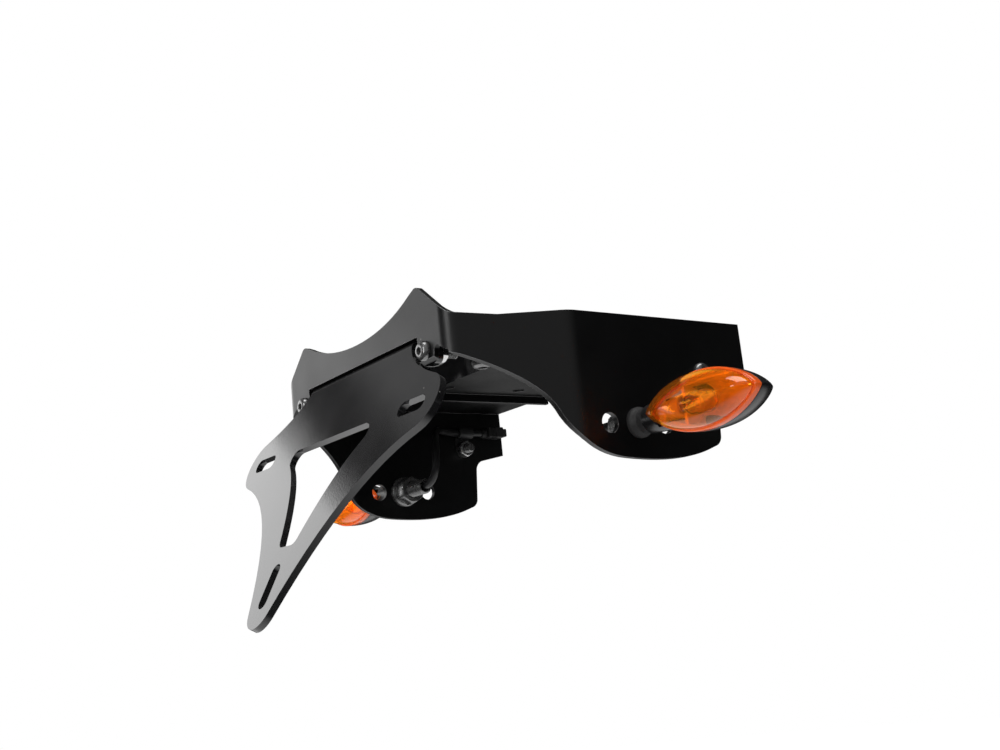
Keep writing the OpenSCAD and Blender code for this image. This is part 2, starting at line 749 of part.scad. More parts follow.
plate_bracket();
undertray();
flange_bolts();
flange_washers();
flange_nuts();
rear_bolt("left");  // rear_bolt_left
rear_bolt("right");  // rear_bolt_right
rear_nut("left");  // rear_nut_left
rear_nut("right");  // rear_nut_right
side_bolt("left");  // side_bolt_left
side_bolt("right");  // side_bolt_right
side_nut("left");  // side_nut_left
side_nut("right");  // side_nut_right
lead_clip("left");  // lead_clip_left
lead_clip("right");  // lead_clip_right
lead("left");  // lead_left
lead("right");  // lead_right
lead_plug("left");  // lead_plug_left
lead_plug("right");  // lead_plug_right
stem("left");  // stem_left
stem("right");  // stem_right
stud("left");  // stud_left
stud("right");  // stud_right
stud_washer("left");  // stud_washer_left
stud_washer("right");  // stud_washer_right
stud_nut("left");  // stud_nut_left
stud_nut("right");  // stud_nut_right
housing("left");  // housing_left
housing("right");  // housing_right
gasket("left");  // gasket_left
gasket("right");  // gasket_right
reflector("left");  // reflector_left
reflector("right");  // reflector_right
bulb_holder("left");  // bulb_holder_left
bulb_holder("right");  // bulb_holder_right
bulb("left");  // bulb_left
bulb("right");  // bulb_right
lens("left");  // lens_left
lens("right");  // lens_right
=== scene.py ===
import json
import math

import bmesh
import bpy
from mathutils import Matrix, Vector


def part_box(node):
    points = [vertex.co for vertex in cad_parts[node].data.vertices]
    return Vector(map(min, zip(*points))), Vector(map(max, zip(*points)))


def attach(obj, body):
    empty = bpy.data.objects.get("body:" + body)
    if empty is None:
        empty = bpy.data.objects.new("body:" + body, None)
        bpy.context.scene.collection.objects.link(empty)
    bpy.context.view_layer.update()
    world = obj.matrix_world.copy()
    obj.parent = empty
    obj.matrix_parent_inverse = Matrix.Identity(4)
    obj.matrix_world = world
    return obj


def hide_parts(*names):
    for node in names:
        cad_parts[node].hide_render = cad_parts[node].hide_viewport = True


MM = 0.001
SIDES = {"left": -1, "right": 1}
X_AXIS = Vector((1, 0, 0))
Y_AXIS = Vector((0, 1, 0))
Z_AXIS = Vector((0, 0, 1))

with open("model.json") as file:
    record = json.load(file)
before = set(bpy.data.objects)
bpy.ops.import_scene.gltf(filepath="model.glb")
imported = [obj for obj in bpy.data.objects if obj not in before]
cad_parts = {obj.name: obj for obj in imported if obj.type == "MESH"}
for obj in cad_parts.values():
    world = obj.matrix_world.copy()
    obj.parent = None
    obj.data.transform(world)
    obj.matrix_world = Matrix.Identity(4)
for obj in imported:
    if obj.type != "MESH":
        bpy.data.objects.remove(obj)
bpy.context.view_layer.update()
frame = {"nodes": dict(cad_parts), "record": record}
NODES = frame["nodes"]

# The drawing's origin, midway between the upper slots, seen from the roof holes
DRAWING_ORIGIN = Vector((0, -0.108, -0.0355))


def drawn_box(node):
    """Lowest and highest corner of a node in millimetres of the drawing."""
    low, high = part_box(node)
    return (low - DRAWING_ORIGIN) / MM, (high - DRAWING_ORIGIN) / MM


def along(node, axis):
    """Point where a node's middle line begins along an axis, and the line's length."""
    low, high = drawn_box(node)
    length = abs(axis.dot(high - low))
    return (low + high) / 2 - axis * length / 2, length


def radius_of(node):
    """Half the height of a node in millimetres."""
    low, high = drawn_box(node)
    return (high.z - low.z) / 2


# Nodes of materials and the groups that the finishes share
def add_node(tree, kind, **settings):
    """A node in a tree, its attributes and inputs set by name."""
    node = tree.nodes.new(kind)
    for key, value in settings.items():
        label = key.replace("_", " ")
        if label in node.inputs:
            node.inputs[label].default_value = value
        else:
            setattr(node, key, value)
    return node


def math_node(tree, operation, first, second):
    """A math node fed by sockets or numbers; returns its result."""
    node = add_node(tree, "ShaderNodeMath", operation=operation)
    for socket, value in zip(node.inputs, (first, second)):
        if isinstance(value, (int, float)):
            socket.default_value = value
        else:
            tree.links.new(value, socket)
    return node.outputs[0]


def span(tree, value, start, end, at_start, at_end, course="SMOOTHSTEP"):
    """A number that changes from one value to another while its input goes from start to end."""
    node = add_node(tree, "ShaderNodeMapRange", interpolation_type=course,
                    From_Min=start, From_Max=end, To_Min=at_start, To_Max=at_end)
    tree.links.new(value, node.inputs["Value"])
    return node.outputs["Result"]


def new_group(name, inputs, outputs):
    """An empty shader node group with number inputs and the named outputs."""
    group = bpy.data.node_groups.new(name, "ShaderNodeTree")
    for label, value in inputs.items():
        socket = group.interface.new_socket(label, in_out="INPUT", socket_type="NodeSocketFloat")
        socket.default_value = value
    for label in outputs:
        group.interface.new_socket(label, in_out="OUTPUT", socket_type="NodeSocketFloat")
    return group, group.nodes.new("NodeGroupInput"), group.nodes.new("NodeGroupOutput")


def grain_group():
    """Fine moulded or sprayed grain: a height, and a broad mottle for tone and sheen."""
    group, entry, result = new_group(
        "surface grain", {"Grains per metre": 2000.0, "Mottle per metre": 40.0}, ["Height", "Mottle"])
    where = add_node(group, "ShaderNodeTexCoord")
    for size, output, detail, roughness in (
            ("Grains per metre", "Height", 3.0, 0.6), ("Mottle per metre", "Mottle", 4.0, 0.55)):
        noise = add_node(group, "ShaderNodeTexNoise", Detail=detail, Roughness=roughness)
        group.links.new(where.outputs["Object"], noise.inputs["Vector"])
        group.links.new(entry.outputs[size], noise.inputs["Scale"])
        group.links.new(noise.outputs["Fac"], result.inputs[output])
    return group


CLOUDS_PER_METRE = 55.0
# Share of the cells that hold no speck, and how much a speck covers
EMPTY_CELLS = 0.93
SPECK_COVER = 0.45


def dust_group():
    """Sparse specks and a thin film of dust that settles on what faces up."""
    group, entry, result = new_group(
        "settled dust", {"Film": 0.1, "Specks per metre": 260.0, "Speck size": 0.1}, ["Mask"])
    where = add_node(group, "ShaderNodeTexCoord")
    shape = add_node(group, "ShaderNodeNewGeometry")
    facing = add_node(group, "ShaderNodeSeparateXYZ")
    group.links.new(shape.outputs["Normal"], facing.inputs[0])
    upward = math_node(group, "MAXIMUM", facing.outputs["Z"], 0.0)
    cloud = add_node(group, "ShaderNodeTexNoise", Scale=CLOUDS_PER_METRE, Detail=5.0, Roughness=0.65)
    group.links.new(where.outputs["Object"], cloud.inputs["Vector"])
    settled = math_node(group, "MULTIPLY", upward, cloud.outputs["Fac"])
    film = math_node(group, "MULTIPLY", settled, entry.outputs["Film"])
    cells = add_node(group, "ShaderNodeTexVoronoi")
    group.links.new(where.outputs["Object"], cells.inputs["Vector"])
    group.links.new(entry.outputs["Specks per metre"], cells.inputs["Scale"])
    speck = math_node(group, "LESS_THAN", cells.outputs["Distance"], entry.outputs["Speck size"])
    chance = add_node(group, "ShaderNodeSeparateXYZ")
    group.links.new(cells.outputs["Color"], chance.inputs[0])
    kept = math_node(group, "GREATER_THAN", chance.outputs["X"], EMPTY_CELLS)
    specks = math_node(group, "MULTIPLY", math_node(group, "MULTIPLY", speck, kept), SPECK_COVER)
    group.links.new(math_node(group, "MAXIMUM", film, specks), result.inputs["Mask"])
    return group


SCRATCH_STRETCH = 22
SCRATCH_LEVEL = 0.69


def scuff_group():
    """Short fine scratches at two angles, from a stretched and turned noise."""
    group, entry, result = new_group("fine scuffs", {"Scuffs per metre": 90.0, "Amount": 0.5}, ["Mask"])
    where = add_node(group, "ShaderNodeTexCoord")
    masks = []
    for turn in (0.5, 2.1):
        laid = add_node(group, "ShaderNodeMapping", Rotation=(turn, 0.7 * turn, 1.9 * turn),
                        Scale=(1, SCRATCH_STRETCH, 1))
        group.links.new(where.outputs["Object"], laid.inputs["Vector"])
        noise = add_node(group, "ShaderNodeTexNoise", Detail=2.0, Roughness=0.5)
        group.links.new(laid.outputs["Vector"], noise.inputs["Vector"])
        group.links.new(entry.outputs["Scuffs per metre"], noise.inputs["Scale"])
        masks.append(math_node(group, "GREATER_THAN", noise.outputs["Fac"], SCRATCH_LEVEL))
    both = math_node(group, "MAXIMUM", masks[0], masks[1])
    group.links.new(math_node(group, "MULTIPLY", both, entry.outputs["Amount"]), result.inputs["Mask"])
    return group


GRAIN = grain_group()
DUST = dust_group()
SCUFFS = scuff_group()
# Part of the mottle's range over which a finish changes
MOTTLE_LOW = 0.3
MOTTLE_HIGH = 0.7


class Finish:
    """One material with a principled shader, its grain, and short calls for what finishes share."""

    def __init__(self, name, colour, roughness, grain=None, **plain):
        self.material = bpy.data.materials.new(name)
        self.material.use_nodes = True
        self.material.diffuse_color = (*colour, 1)
        self.tree = self.material.node_tree
        self.shader = self.tree.nodes["Principled BSDF"]
        self.base = self.shader.inputs["Base Color"]
        self.base.default_value = (*colour, 1)
        self.shader.inputs["Roughness"].default_value = roughness
        for socket, value in plain.items():
            self.shader.inputs[socket.replace("_", " ")].default_value = value
        if grain:
            self.grain = self.place(GRAIN, Grains_per_metre=grain[0], Mottle_per_metre=grain[1])

    def place(self, group, **values):
        """Place a shared group with this finish's own values; returns its outputs."""
        node = add_node(self.tree, "ShaderNodeGroup", node_tree=group)
        for label, value in values.items():
            node.inputs[label.replace("_", " ")].default_value = value
        return node.outputs

    def tone(self, *colours):
        """Base colour that drifts between two or more colours."""
        ramp = add_node(self.tree, "ShaderNodeValToRGB")
        while len(ramp.color_ramp.elements) < len(colours):
            ramp.color_ramp.elements.new(0.5)
        for i, (element, colour) in enumerate(zip(ramp.color_ramp.elements, colours)):
            element.position = i / (len(colours) - 1)
            element.color = (*colour, 1)
        self.tree.links.new(self.grain["Mottle"], ramp.inputs["Fac"])
        self.tree.links.new(ramp.outputs["Color"], self.base)

    def sheen(self, low, high):
        """Roughness that drifts from low to high."""
        drift = span(self.tree, self.grain["Mottle"], MOTTLE_LOW, MOTTLE_HIGH, low, high, "LINEAR")
        self.tree.links.new(drift, self.shader.inputs["Roughness"])

    def relief(self, depth, strength):
        """Grain of a real depth in metres."""
        bump = add_node(self.tree, "ShaderNodeBump", Distance=depth, Strength=strength)
        self.tree.links.new(self.grain["Height"], bump.inputs["Height"])
        self.tree.links.new(bump.outputs["Normal"], self.shader.inputs["Normal"])

    def cover(self, group, over, **values):
        """Base colour that turns to another one where the mask of a shared group is high."""
        mix = add_node(self.tree, "ShaderNodeMix", data_type="RGBA")
        self.tree.links.new(self.place(group, **values)["Mask"], mix.inputs["Factor"])
        mix.inputs["A"].default_value = self.base.default_value
        for link in self.base.links:
            self.tree.links.new(link.from_socket, mix.inputs["A"])
        mix.inputs["B"].default_value = (*over, 1)
        self.tree.links.new(mix.outputs["Result"], self.base)


DUST_COLOUR = (0.4, 0.39, 0.37)


def powder_coat():
    """Satin black powder coat over sheet steel: a slight orange peel and a few specks."""
    paint = Finish("powder coated sheet", (0.006, 0.006, 0.0066), 0.08, (900, 32), Specular_IOR_Level=0.85)
    paint.tone((0.0045, 0.0045, 0.005), (0.008, 0.008, 0.0088))
    paint.cover(DUST, (0.45, 0.44, 0.42), Film=0.06, Specks_per_metre=150, Speck_size=0.045)
    paint.sheen(0.05, 0.1)
    paint.relief(0.00003, 0.5)
    return paint.material


def worn_edge_painted_highlight():
    """The coat worn thin along the sheet's edges, its colour lightened further as a painted highlight along
    them.
    """
    # Colours far lighter than the coat: partly bare steel where the coat is worn, partly a painted highlight
    # along the edges
    edge = Finish("worn coat edge painted highlight", (0.2, 0.2, 0.205), 0.25, (700, 160), Specular_IOR_Level=1.0)
    edge.tone((0.06, 0.06, 0.062), (0.42, 0.42, 0.43))
    edge.sheen(0.28, 0.42)
    return edge.material


def moulded_plastic():
    """Black moulding with a fine spark grain and dust on its upper faces."""
    plastic = Finish("grained moulding", (0.0014, 0.0014, 0.0016), 0.34, (1800, 26), Specular_IOR_Level=0.42)
    plastic.tone((0.0008, 0.0008, 0.001), (0.0022, 0.0022, 0.0025))
    plastic.cover(DUST, DUST_COLOUR, Film=0.05, Specks_per_metre=170, Speck_size=0.05)
    plastic.sheen(0.29, 0.4)
    plastic.relief(0.00005, 0.6)
    return plastic.material


def moulding_edge_painted_highlight():
    """The moulding's rounded edges, polished by the tool, and painted far lighter than the moulding as a
    highlight line.
    """
    # Colours far lighter than the moulding, though the edge is the same plastic: a painted highlight along
    # the edges
    edge = Finish("moulding edge painted highlight", (0.1, 0.1, 0.102), 0.2, (900, 60), IOR=1.9, Specular_IOR_Level=1.0)
    edge.tone((0.04, 0.04, 0.041), (0.18, 0.18, 0.183))
    edge.sheen(0.16, 0.28)
    return edge.material


def black_steel():
    """Black oxide, rubbed bright in places, on bolts and studs."""
    oxide = Finish("black oxide steel", (0.03, 0.03, 0.032), 0.26, (2600, 420), IOR=1.9,
                   Specular_IOR_Level=1.0)
    oxide.tone((0.012, 0.012, 0.014), (0.06, 0.059, 0.057))
    oxide.cover(SCUFFS, (0.3, 0.29, 0.28), Scuffs_per_metre=260, Amount=0.25)
    oxide.sheen(0.2, 0.34)
    oxide.relief(0.00001, 0.5)
    return oxide.material


def bright_zinc():
    """Bright zinc plate with a faint blue and straw tint."""
    zinc = Finish("bright zinc plate", (0.68, 0.69, 0.71), 0.26, (3200, 300), Metallic=1.0)
    zinc.tone((0.6, 0.63, 0.68), (0.74, 0.74, 0.74), (0.72, 0.69, 0.6))
    zinc.cover(SCUFFS, (0.42, 0.42, 0.42), Scuffs_per_metre=240, Amount=0.4)
    zinc.sheen(0.18, 0.38)
    zinc.relief(0.000012, 0.5)
    return zinc.material


def soft_rubber():
    """Matt rubber of the stems."""
    rubber = Finish("stem rubber", (0.022, 0.022, 0.024), 0.5, (2600, 130), Specular_IOR_Level=0.4)
    rubber.tone((0.011, 0.011, 0.012), (0.024, 0.023, 0.023))
    rubber.sheen(0.48, 0.68)
    rubber.relief(0.00004, 0.6)
    return rubber.material


def seal_rubber():
    """Red seal between lens and housing."""
    seal = Finish("red seal", (0.42, 0.05, 0.025), 0.45, (2200, 200))
    seal.tone((0.3, 0.03, 0.016), (0.55, 0.07, 0.03))
    seal.relief(0.00003, 0.5)
    return seal.material


def lead_sheath():
    """Smooth black sheath of the leads."""
    sheath = Finish("lead sheath", (0.007, 0.007, 0.0075), 0.3, (1500, 90), Specular_IOR_Level=0.35)
    sheath.tone((0.005, 0.005, 0.0055), (0.011, 0.011, 0.0115))
    sheath.sheen(0.28, 0.46)
    sheath.relief(0.00003, 0.4)
    return sheath.material


def plug_plastic():
    """Plain black plastic of plugs and clips."""
    plastic = Finish("plug plastic", (0.012, 0.012, 0.0125), 0.44, (2400, 160), Specular_IOR_Level=0.35)
    plastic.tone((0.009, 0.009, 0.0095), (0.018, 0.018, 0.018))
    plastic.sheen(0.36, 0.54)
    plastic.relief(0.00003, 0.5)
    return plastic.material


def gloss_housing():
    """Gloss black housing of the indicators."""
    gloss = Finish("gloss housing", (0.006, 0.006, 0.0065), 0.24, (500, 60), Specular_IOR_Level=0.6)
    gloss.cover(DUST, DUST_COLOUR, Film=0.05, Specks_per_metre=300, Speck_size=0.06)
    gloss.sheen(0.2, 0.3)
    gloss.relief(0.00002, 0.25)
    return gloss.material


def amber_lens():
    """Clear amber plastic."""
    amber = Finish("clear amber", (1.0, 0.35, 0.012), 0.02, (260, 60), IOR=1.49, Transmission_Weight=0.94)
    amber.sheen(0.015, 0.06)
    amber.relief(0.000006, 0.2)
    return amber.material


def amber_rim():
    """The lens's thick rim, where the same plastic looks dense."""
    rim = Finish("amber rim", (1.0, 0.18, 0.02), 0.05, (260, 60), IOR=1.49, Transmission_Weight=0.35)
    rim.tone((0.95, 0.12, 0.015), (1.0, 0.2, 0.03))
    rim.sheen(0.03, 0.1)
    return rim.material


def bright_reflector():
    """Vacuum plated plastic inside the indicators."""
    bright = Finish("bright plating", (0.93, 0.93, 0.93), 0.12, (700, 150), Metallic=0.15)
    bright.tone((0.88, 0.88, 0.88), (0.97, 0.97, 0.97))
    bright.sheen(0.16, 0.3)
    bright.relief(0.00002, 0.2)
    return bright.material


def holder_plastic():
    """Pale plastic of the bulb holders."""
    holder = Finish("holder plastic", (0.55, 0.55, 0.5), 0.42, (1600, 220))
    holder.tone((0.46, 0.46, 0.42), (0.62, 0.62, 0.57))
    holder.relief(0.00003, 0.5)
    return holder.material


def bulb_glass():
    """Thin amber tinted glass."""
    glass = Finish("bulb glass", (1.0, 0.62, 0.22), 0.02, (200, 120), IOR=1.5, Transmission_Weight=1.0)
    glass.sheen(0.01, 0.04)
    glass.relief(0.00002, 0.2)
    return glass.material


FINISHES = {
    "sheet_steel": powder_coat(),
    "moulding": moulded_plastic(),
    "black_steel": black_steel(),
    "zinc": bright_zinc(),
    "stem_rubber": soft_rubber(),
    "seal_rubber": seal_rubber(),
    "lead_sheath": lead_sheath(),
    "plug_plastic": plug_plastic(),
    "housing_plastic": gloss_housing(),
    "amber": amber_lens(),
    "bright": bright_reflector(),
    "holder_plastic": holder_plastic(),
    "bulb_glass": bulb_glass(),
}
RIM_FINISH = amber_rim()
NODE_FINISH = {part["node"]: part["material_slot"] for part in frame["record"]["subparts"]}


def paint_nodes():
    """Give every node of the frame its finish."""
    for name, node in NODES.items():
        node.data.materials.clear()
        node.data.materials.append(FINISHES[NODE_FINISH[name]])


def smooth_shading():
    """Modifier steps that shade every face smooth."""
    steps = bpy.data.node_groups.new("smooth shading", "GeometryNodeTree")
    for way in ("INPUT", "OUTPUT"):
        steps.interface.new_socket("Geometry", in_out=way, socket_type="NodeSocketGeometry")
    smooth = steps.nodes.new("GeometryNodeSetShadeSmooth")
    steps.links.new(steps.nodes.new("NodeGroupInput").outputs[0], smooth.inputs["Geometry"])
    steps.links.new(smooth.outputs["Geometry"], steps.nodes.new("NodeGroupOutput").inputs[0])
    return steps


SMOOTH_SHADING = smooth_shading()
WELD_REACH = 0.002 * MM
FLAT_WITHIN = math.radians(0.5)
SHARP_FROM = math.radians(35)


def soften(name, width, edge_finish):
    """Round the sharp edges of a node, finish them apart and shade its curves smooth."""
    node = NODES[name]
    node.data.materials.append(edge_finish)
    weld = node.modifiers.new("weld", "WELD")
    weld.merge_threshold = WELD_REACH
    flat = node.modifiers.new("flat faces", "DECIMATE")
    flat.decimate_type = "DISSOLVE"
    flat.angle_limit = FLAT_WITHIN
    bevel = node.modifiers.new("edges", "BEVEL")
    bevel.width = width
    bevel.segments = 2
    bevel.limit_method = "ANGLE"
    bevel.angle_limit = SHARP_FROM
    bevel.material = 1
    smooth = node.modifiers.new("smooth faces", "NODES")
    smooth.node_group = SMOOTH_SHADING
    even = node.modifiers.new("flat stays flat", "WEIGHTED_NORMAL")
    even.mode = "FACE_AREA"
    even.weight = 50
    even.keep_sharp = False


# Pieces are drawn in millimetres for the right side; the left ones are their mirror image
ROUND = 48


def ring(centre, axis, radius, count=ROUND):
    """A loop of points square to an axis; the radius is a number or a function of the angle."""
    across = Z_AXIS if abs(axis.z) < 0.5 else X_AXIS
    upright = axis.cross(across)
    points = []
    for k in range(count):
        angle = math.tau * k / count
        reach = radius(angle) if callable(radius) else radius
        points.append(centre + reach * (across * math.cos(angle) + upright * math.sin(angle)))
    return points


def turned(start, axis, profile):
    """Loops of a turned shape from pairs of distance along the axis and radius."""
    return [ring(start + axis * rise, axis, radius) for rise, radius in profile]


def hexagon(flats, limit):
    """Radius of a hexagon at each angle, nowhere more than the limit."""
    def reach(angle):
        off_flat = angle % (math.pi / 3) - math.pi / 6
        return min(flats / 2 / math.cos(off_flat), limit)
    return reach


LOOPS_A_TURN = 8
# Shares of a thread's pitch: depth of its groove, half the groove's width, width of a flank
GROOVE_DEPTH = 0.55
GROOVE_HALF_WIDTH = 0.44
GROOVE_FLANK = 0.32


def thread(start, axis, crest, pitch, length):
    """Loops of a screw thread that fades out at both ends."""
    steps = max(LOOPS_A_TURN, round(length / pitch * LOOPS_A_TURN))
    loops = []
    for i in range(steps + 1):
        rise = length * i / steps
        fade = min(1.0, rise / pitch, (length - rise) / pitch)

        def reach(angle, rise=rise, fade=fade):
            off_groove = abs((rise / pitch - angle / math.tau) % 1 - 0.5)
            groove = min(1.0, max(0.0, (GROOVE_HALF_WIDTH - off_groove) / GROOVE_FLANK))
            return crest - GROOVE_DEPTH * pitch * fade * groove
        loops.append(ring(start + axis * rise, axis, reach))
    return loops


def skin(loops, closed=False):
    """Points and faces over loops of as many points each: capped at both ends, or joined end to end."""
    count = len(loops[0])
    rows = len(loops)
    faces = []
    for i in range(rows if closed else rows - 1):
        j = (i + 1) % rows
        for k in range(count):
            n = (k + 1) % count
            faces.append((i * count + k, i * count + n, j * count + n, j * count + k))
    if not closed:
        faces.append(tuple(reversed(range(count))))
        faces.append(tuple(range((rows - 1) * count, rows * count)))
    return [point for loop in loops for point in loop], faces


SOLID_CREASE = math.radians(35)
JOINED_CREASE = math.radians(30)


def crease(mesh, angle):
    """Shade a mesh smooth except at edges sharper than an angle."""
    mesh.shade_smooth()
    mesh.set_sharp_from_angle(angle=angle)


def solid(name, skins, side):
    """An object from closed skins, smooth between its creases."""
    shape = bmesh.new()
    for points, faces in skins:
        corners = [shape.verts.new(DRAWING_ORIGIN + Vector((p.x * side, p.y, p.z)) * MM) for p in points]
        for face in faces:
            shape.faces.new([corners[i] for i in face])
    bmesh.ops.recalc_face_normals(shape, faces=shape.faces)
    mesh = bpy.data.meshes.new(name)
    shape.to_mesh(mesh)
    shape.free()
    crease(mesh, SOLID_CREASE)
    piece = bpy.data.objects.new(name, mesh)
    bpy.context.scene.collection.objects.link(piece)
    return piece


def combine(piece, operation, tool):
    """Join another solid to a piece, cut it away or keep what they share."""
    change = piece.modifiers.new("join", "BOOLEAN")
    change.operation = operation
    change.solver = "EXACT"
    change.object = tool
    bpy.context.view_layer.update()
    result = piece.evaluated_get(bpy.context.evaluated_depsgraph_get())
    mesh = bpy.data.meshes.new_from_object(result)
    piece.modifiers.clear()
    piece.data = mesh
    bpy.data.objects.remove(tool)
    crease(mesh, JOINED_CREASE)


def carve(piece, side, *cutters):
    """Cut the shape of each skin out of a piece."""
    for cutter in cutters:
        combine(piece, "DIFFERENCE", solid("cutter", [cutter], side))


def block(low, high):
    """Skin of a plain box between two corners."""
    square = ((0, 0), (1, 0), (1, 1), (0, 1))
    corner = Vector(low)
    size = Vector(high) - corner
    return skin([[corner + Vector((size.x * u, size.y * v, size.z * w)) for u, v in square] for w in (0, 1)])


def rod(start, length, radius):
    """Skin of a plain round rod along X."""
    return skin(turned(start, X_AXIS, [(0, radius), (length, radius)]))


def fit_out(piece, slot, *nodes):
    """Finish a piece, put it on the part and let it stand for its nodes."""
    piece.data.materials.clear()
    piece.data.materials.append(FINISHES[slot])
    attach(piece, "root")
    if nodes:
        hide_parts(*nodes)


def add_piece(name, skins, side, slot, *nodes):
    """Make a piece from closed skins and fit it out."""
    fit_out(solid(name, skins, side), slot, *nodes)


M5 = {"shank": 2.5, "pitch": 0.8, "head": 4.25, "head_h": 2.8, "key": 3.0, "flats": 8.0, "nut_h": 4.0}
M6 = {"shank": 3.0, "pitch": 1.0, "head": 5.25, "head_h": 3.3, "key": 4.0, "flats": 10.0, "nut_h": 5.0}
M8 = {"shank": 4.0, "pitch": 1.25, "flats": 13.0}
# Crown of a button head: share of its height, share of its radius
CROWN = ((0.0, 0.5), (0.02, 0.58), (0.08, 0.72), (0.2, 0.84), (0.38, 0.93), (0.6, 0.985), (0.78, 1.0),
         (0.94, 1.0), (1.0, 0.975))
# Socket: depth as a share of the head's height, corners and mouth as shares of the key
SOCKET_DEPTH = 0.6
SOCKET_CORNER = 0.57
SOCKET_MOUTH = 0.64
# Length of shank without thread at each end
PLAIN_END = 0.5
# Chamfers of a nut: share of its height, share of half its flats
NUT_CHAMFERS = ((0.05, 1.06), (0.12, 1.14), (0.86, 1.14), (0.94, 1.06), (1.0, 0.96))
NUT_CLEARANCE = 0.12
NUT_MOUTH = 0.35


def button_bolt(top, axis, size, whole):
    """A button headed bolt with a hexagon socket; the axis runs from the head's top to the tip."""
    key = size["key"]
    shank = size["shank"]
    under = top + axis * size["head_h"]
    length = whole - size["head_h"]
    bottom = top + axis * size["head_h"] * SOCKET_DEPTH
    socket = hexagon(key, key * SOCKET_CORNER)
    loops = [ring(bottom, axis, 0.1), ring(bottom, axis, socket), ring(top + axis * 0.12, axis, socket),
             ring(top, axis, key * SOCKET_MOUTH)]
    loops += turned(top, axis, [(h * size["head_h"], r * size["head"]) for h, r in CROWN])
    loops += turned(under, axis, [(0, shank + 0.1), (0.12, shank), (PLAIN_END, shank)])
    loops += thread(under + axis * PLAIN_END, axis, shank, size["pitch"], length - 2 * PLAIN_END)
    loops += turned(under, axis, [(length - 0.3, shank - 0.25), (length, shank - 0.6)])
    return skin(loops)


def hex_nut(seat, axis, size):
    """A chamfered nut; the axis points away from its seat."""
    hole = size["shank"] + NUT_CLEARANCE
    flat = size["flats"] / 2
    height = size["nut_h"]
    loops = turned(seat, axis, [(NUT_MOUTH, hole), (0, hole + NUT_MOUTH), (0, flat * 0.97)])
    for rise, limit in NUT_CHAMFERS:
        loops.append(ring(seat + axis * height * rise, axis, hexagon(size["flats"], flat * limit)))
    loops += turned(seat, axis, [(height, hole + NUT_MOUTH), (height - NUT_MOUTH, hole)])
    return skin(loops, closed=True)


def flanged_nut(seat, height):
    """The nut of a stud, its round flange on the washer."""
    hole = M8["shank"] + NUT_CLEARANCE
    flat = M8["flats"] / 2
    loops = turned(seat, -X_AXIS, [
        (NUT_MOUTH, hole), (0, hole + NUT_MOUTH), (0, NUT_FLANGE - 0.2), (0.15, NUT_FLANGE),
        (0.55, NUT_FLANGE), (0.75, NUT_FLANGE - 0.15), (1.4, flat * 1.06)])
    for rise, share in ((1.5, 1.14), (height - 1.1, 1.14), (height - 0.5, 1.06), (height, 0.96)):
        loops.append(ring(seat - X_AXIS * rise, -X_AXIS, hexagon(M8["flats"], flat * share)))
    loops += turned(seat, -X_AXIS, [(height, hole + NUT_MOUTH), (height - NUT_MOUTH, hole)])
    return skin(loops, closed=True)


def washer(seat, axis, outer, inner, thick):
    """A stamped washer, rolled over on the side away from its seat."""
    roll = 0.3 * thick
    return skin(turned(seat, axis, [
        (0, inner), (0, outer - 0.1), (0.1, outer), (thick - roll, outer),
        (thick - 0.3 * roll, outer - 0.3 * roll), (thick, outer - roll),
        (thick, inner + 0.2), (thick - 0.2, inner)]), closed=True)


FLANGE_BOLTS = [(x, y) for x in (-30, 30) for y in (36.5, 62.5)]
ROOF_TOP = 35.5
FLANGE_WASHER_RADIUS = 6.0
FLANGE_WASHER_HOLE = 3.25
FLANGE_WASHER_THICK = 1.6


def add_fasteners():
    """Bolts, washers and nuts of the flange, the rear tabs and the lead clips."""
    places = [Vector((x, y, 0)) for x, y in FLANGE_BOLTS]
    low, high = drawn_box("flange_bolts")
    head = Z_AXIS * low.z
    roof = Z_AXIS * ROOF_TOP
    seat = roof + Z_AXIS * FLANGE_WASHER_THICK
    bolts = [button_bolt(p + head, Z_AXIS, M6, high.z - low.z) for p in places]
    washers = [washer(p + roof, Z_AXIS, FLANGE_WASHER_RADIUS, FLANGE_WASHER_HOLE, FLANGE_WASHER_THICK)
               for p in places]
    nuts = [hex_nut(p + seat, Z_AXIS, M6) for p in places]
    add_piece("flange_bolt_set", bolts, 1, "black_steel", "flange_bolts")
    add_piece("flange_washer_set", washers, 1, "zinc", "flange_washers")
    add_piece("flange_nut_set", nuts, 1, "zinc", "flange_nuts")
    for name, side in SIDES.items():
        for place, axis in (("rear", Y_AXIS), ("side", -X_AXIS)):
            top, whole = along(place + "_bolt_right", axis)
            seat = along(place + "_nut_right", axis)[0]
            add_piece(f"{place}_button_bolt_{name}", [button_bolt(top, axis, M5, whole)], side,
                      "black_steel", f"{place}_bolt_{name}")
            add_piece(f"{place}_hex_nut_{name}", [hex_nut(seat, axis, M5)], side,
                      "zinc", f"{place}_nut_{name}")


# Route of the right lead: inside the stud, up beside the cheek, along to the clip and the plug
LEAD_ROUTE = [
    (96, 91, -11), (84, 91, -11), (76, 91, -11), (71, 91, -10.9), (66.8, 91, -10), (63.2, 91, -7.8),
    (60.8, 91, -4.5), (59.8, 91.2, -0.5), (60.1, 91.8, 3.8), (61.8, 93.1, 8.2), (64.8, 95.2, 12.2),
    (68.9, 98.2, 15.6), (73.8, 102.1, 18.3), (78.8, 106.6, 20.1), (83.4, 111.3, 20.9), (86.9, 116.2, 21),
    (89.1, 121.4, 21), (90, 127, 21), (90, 136, 21), (90, 142, 21)]
ROUTE_SHIFT = Vector((0.2, 0, 0))
ROUTE_STEPS = 4
LEAD_RADIUS = 2.0


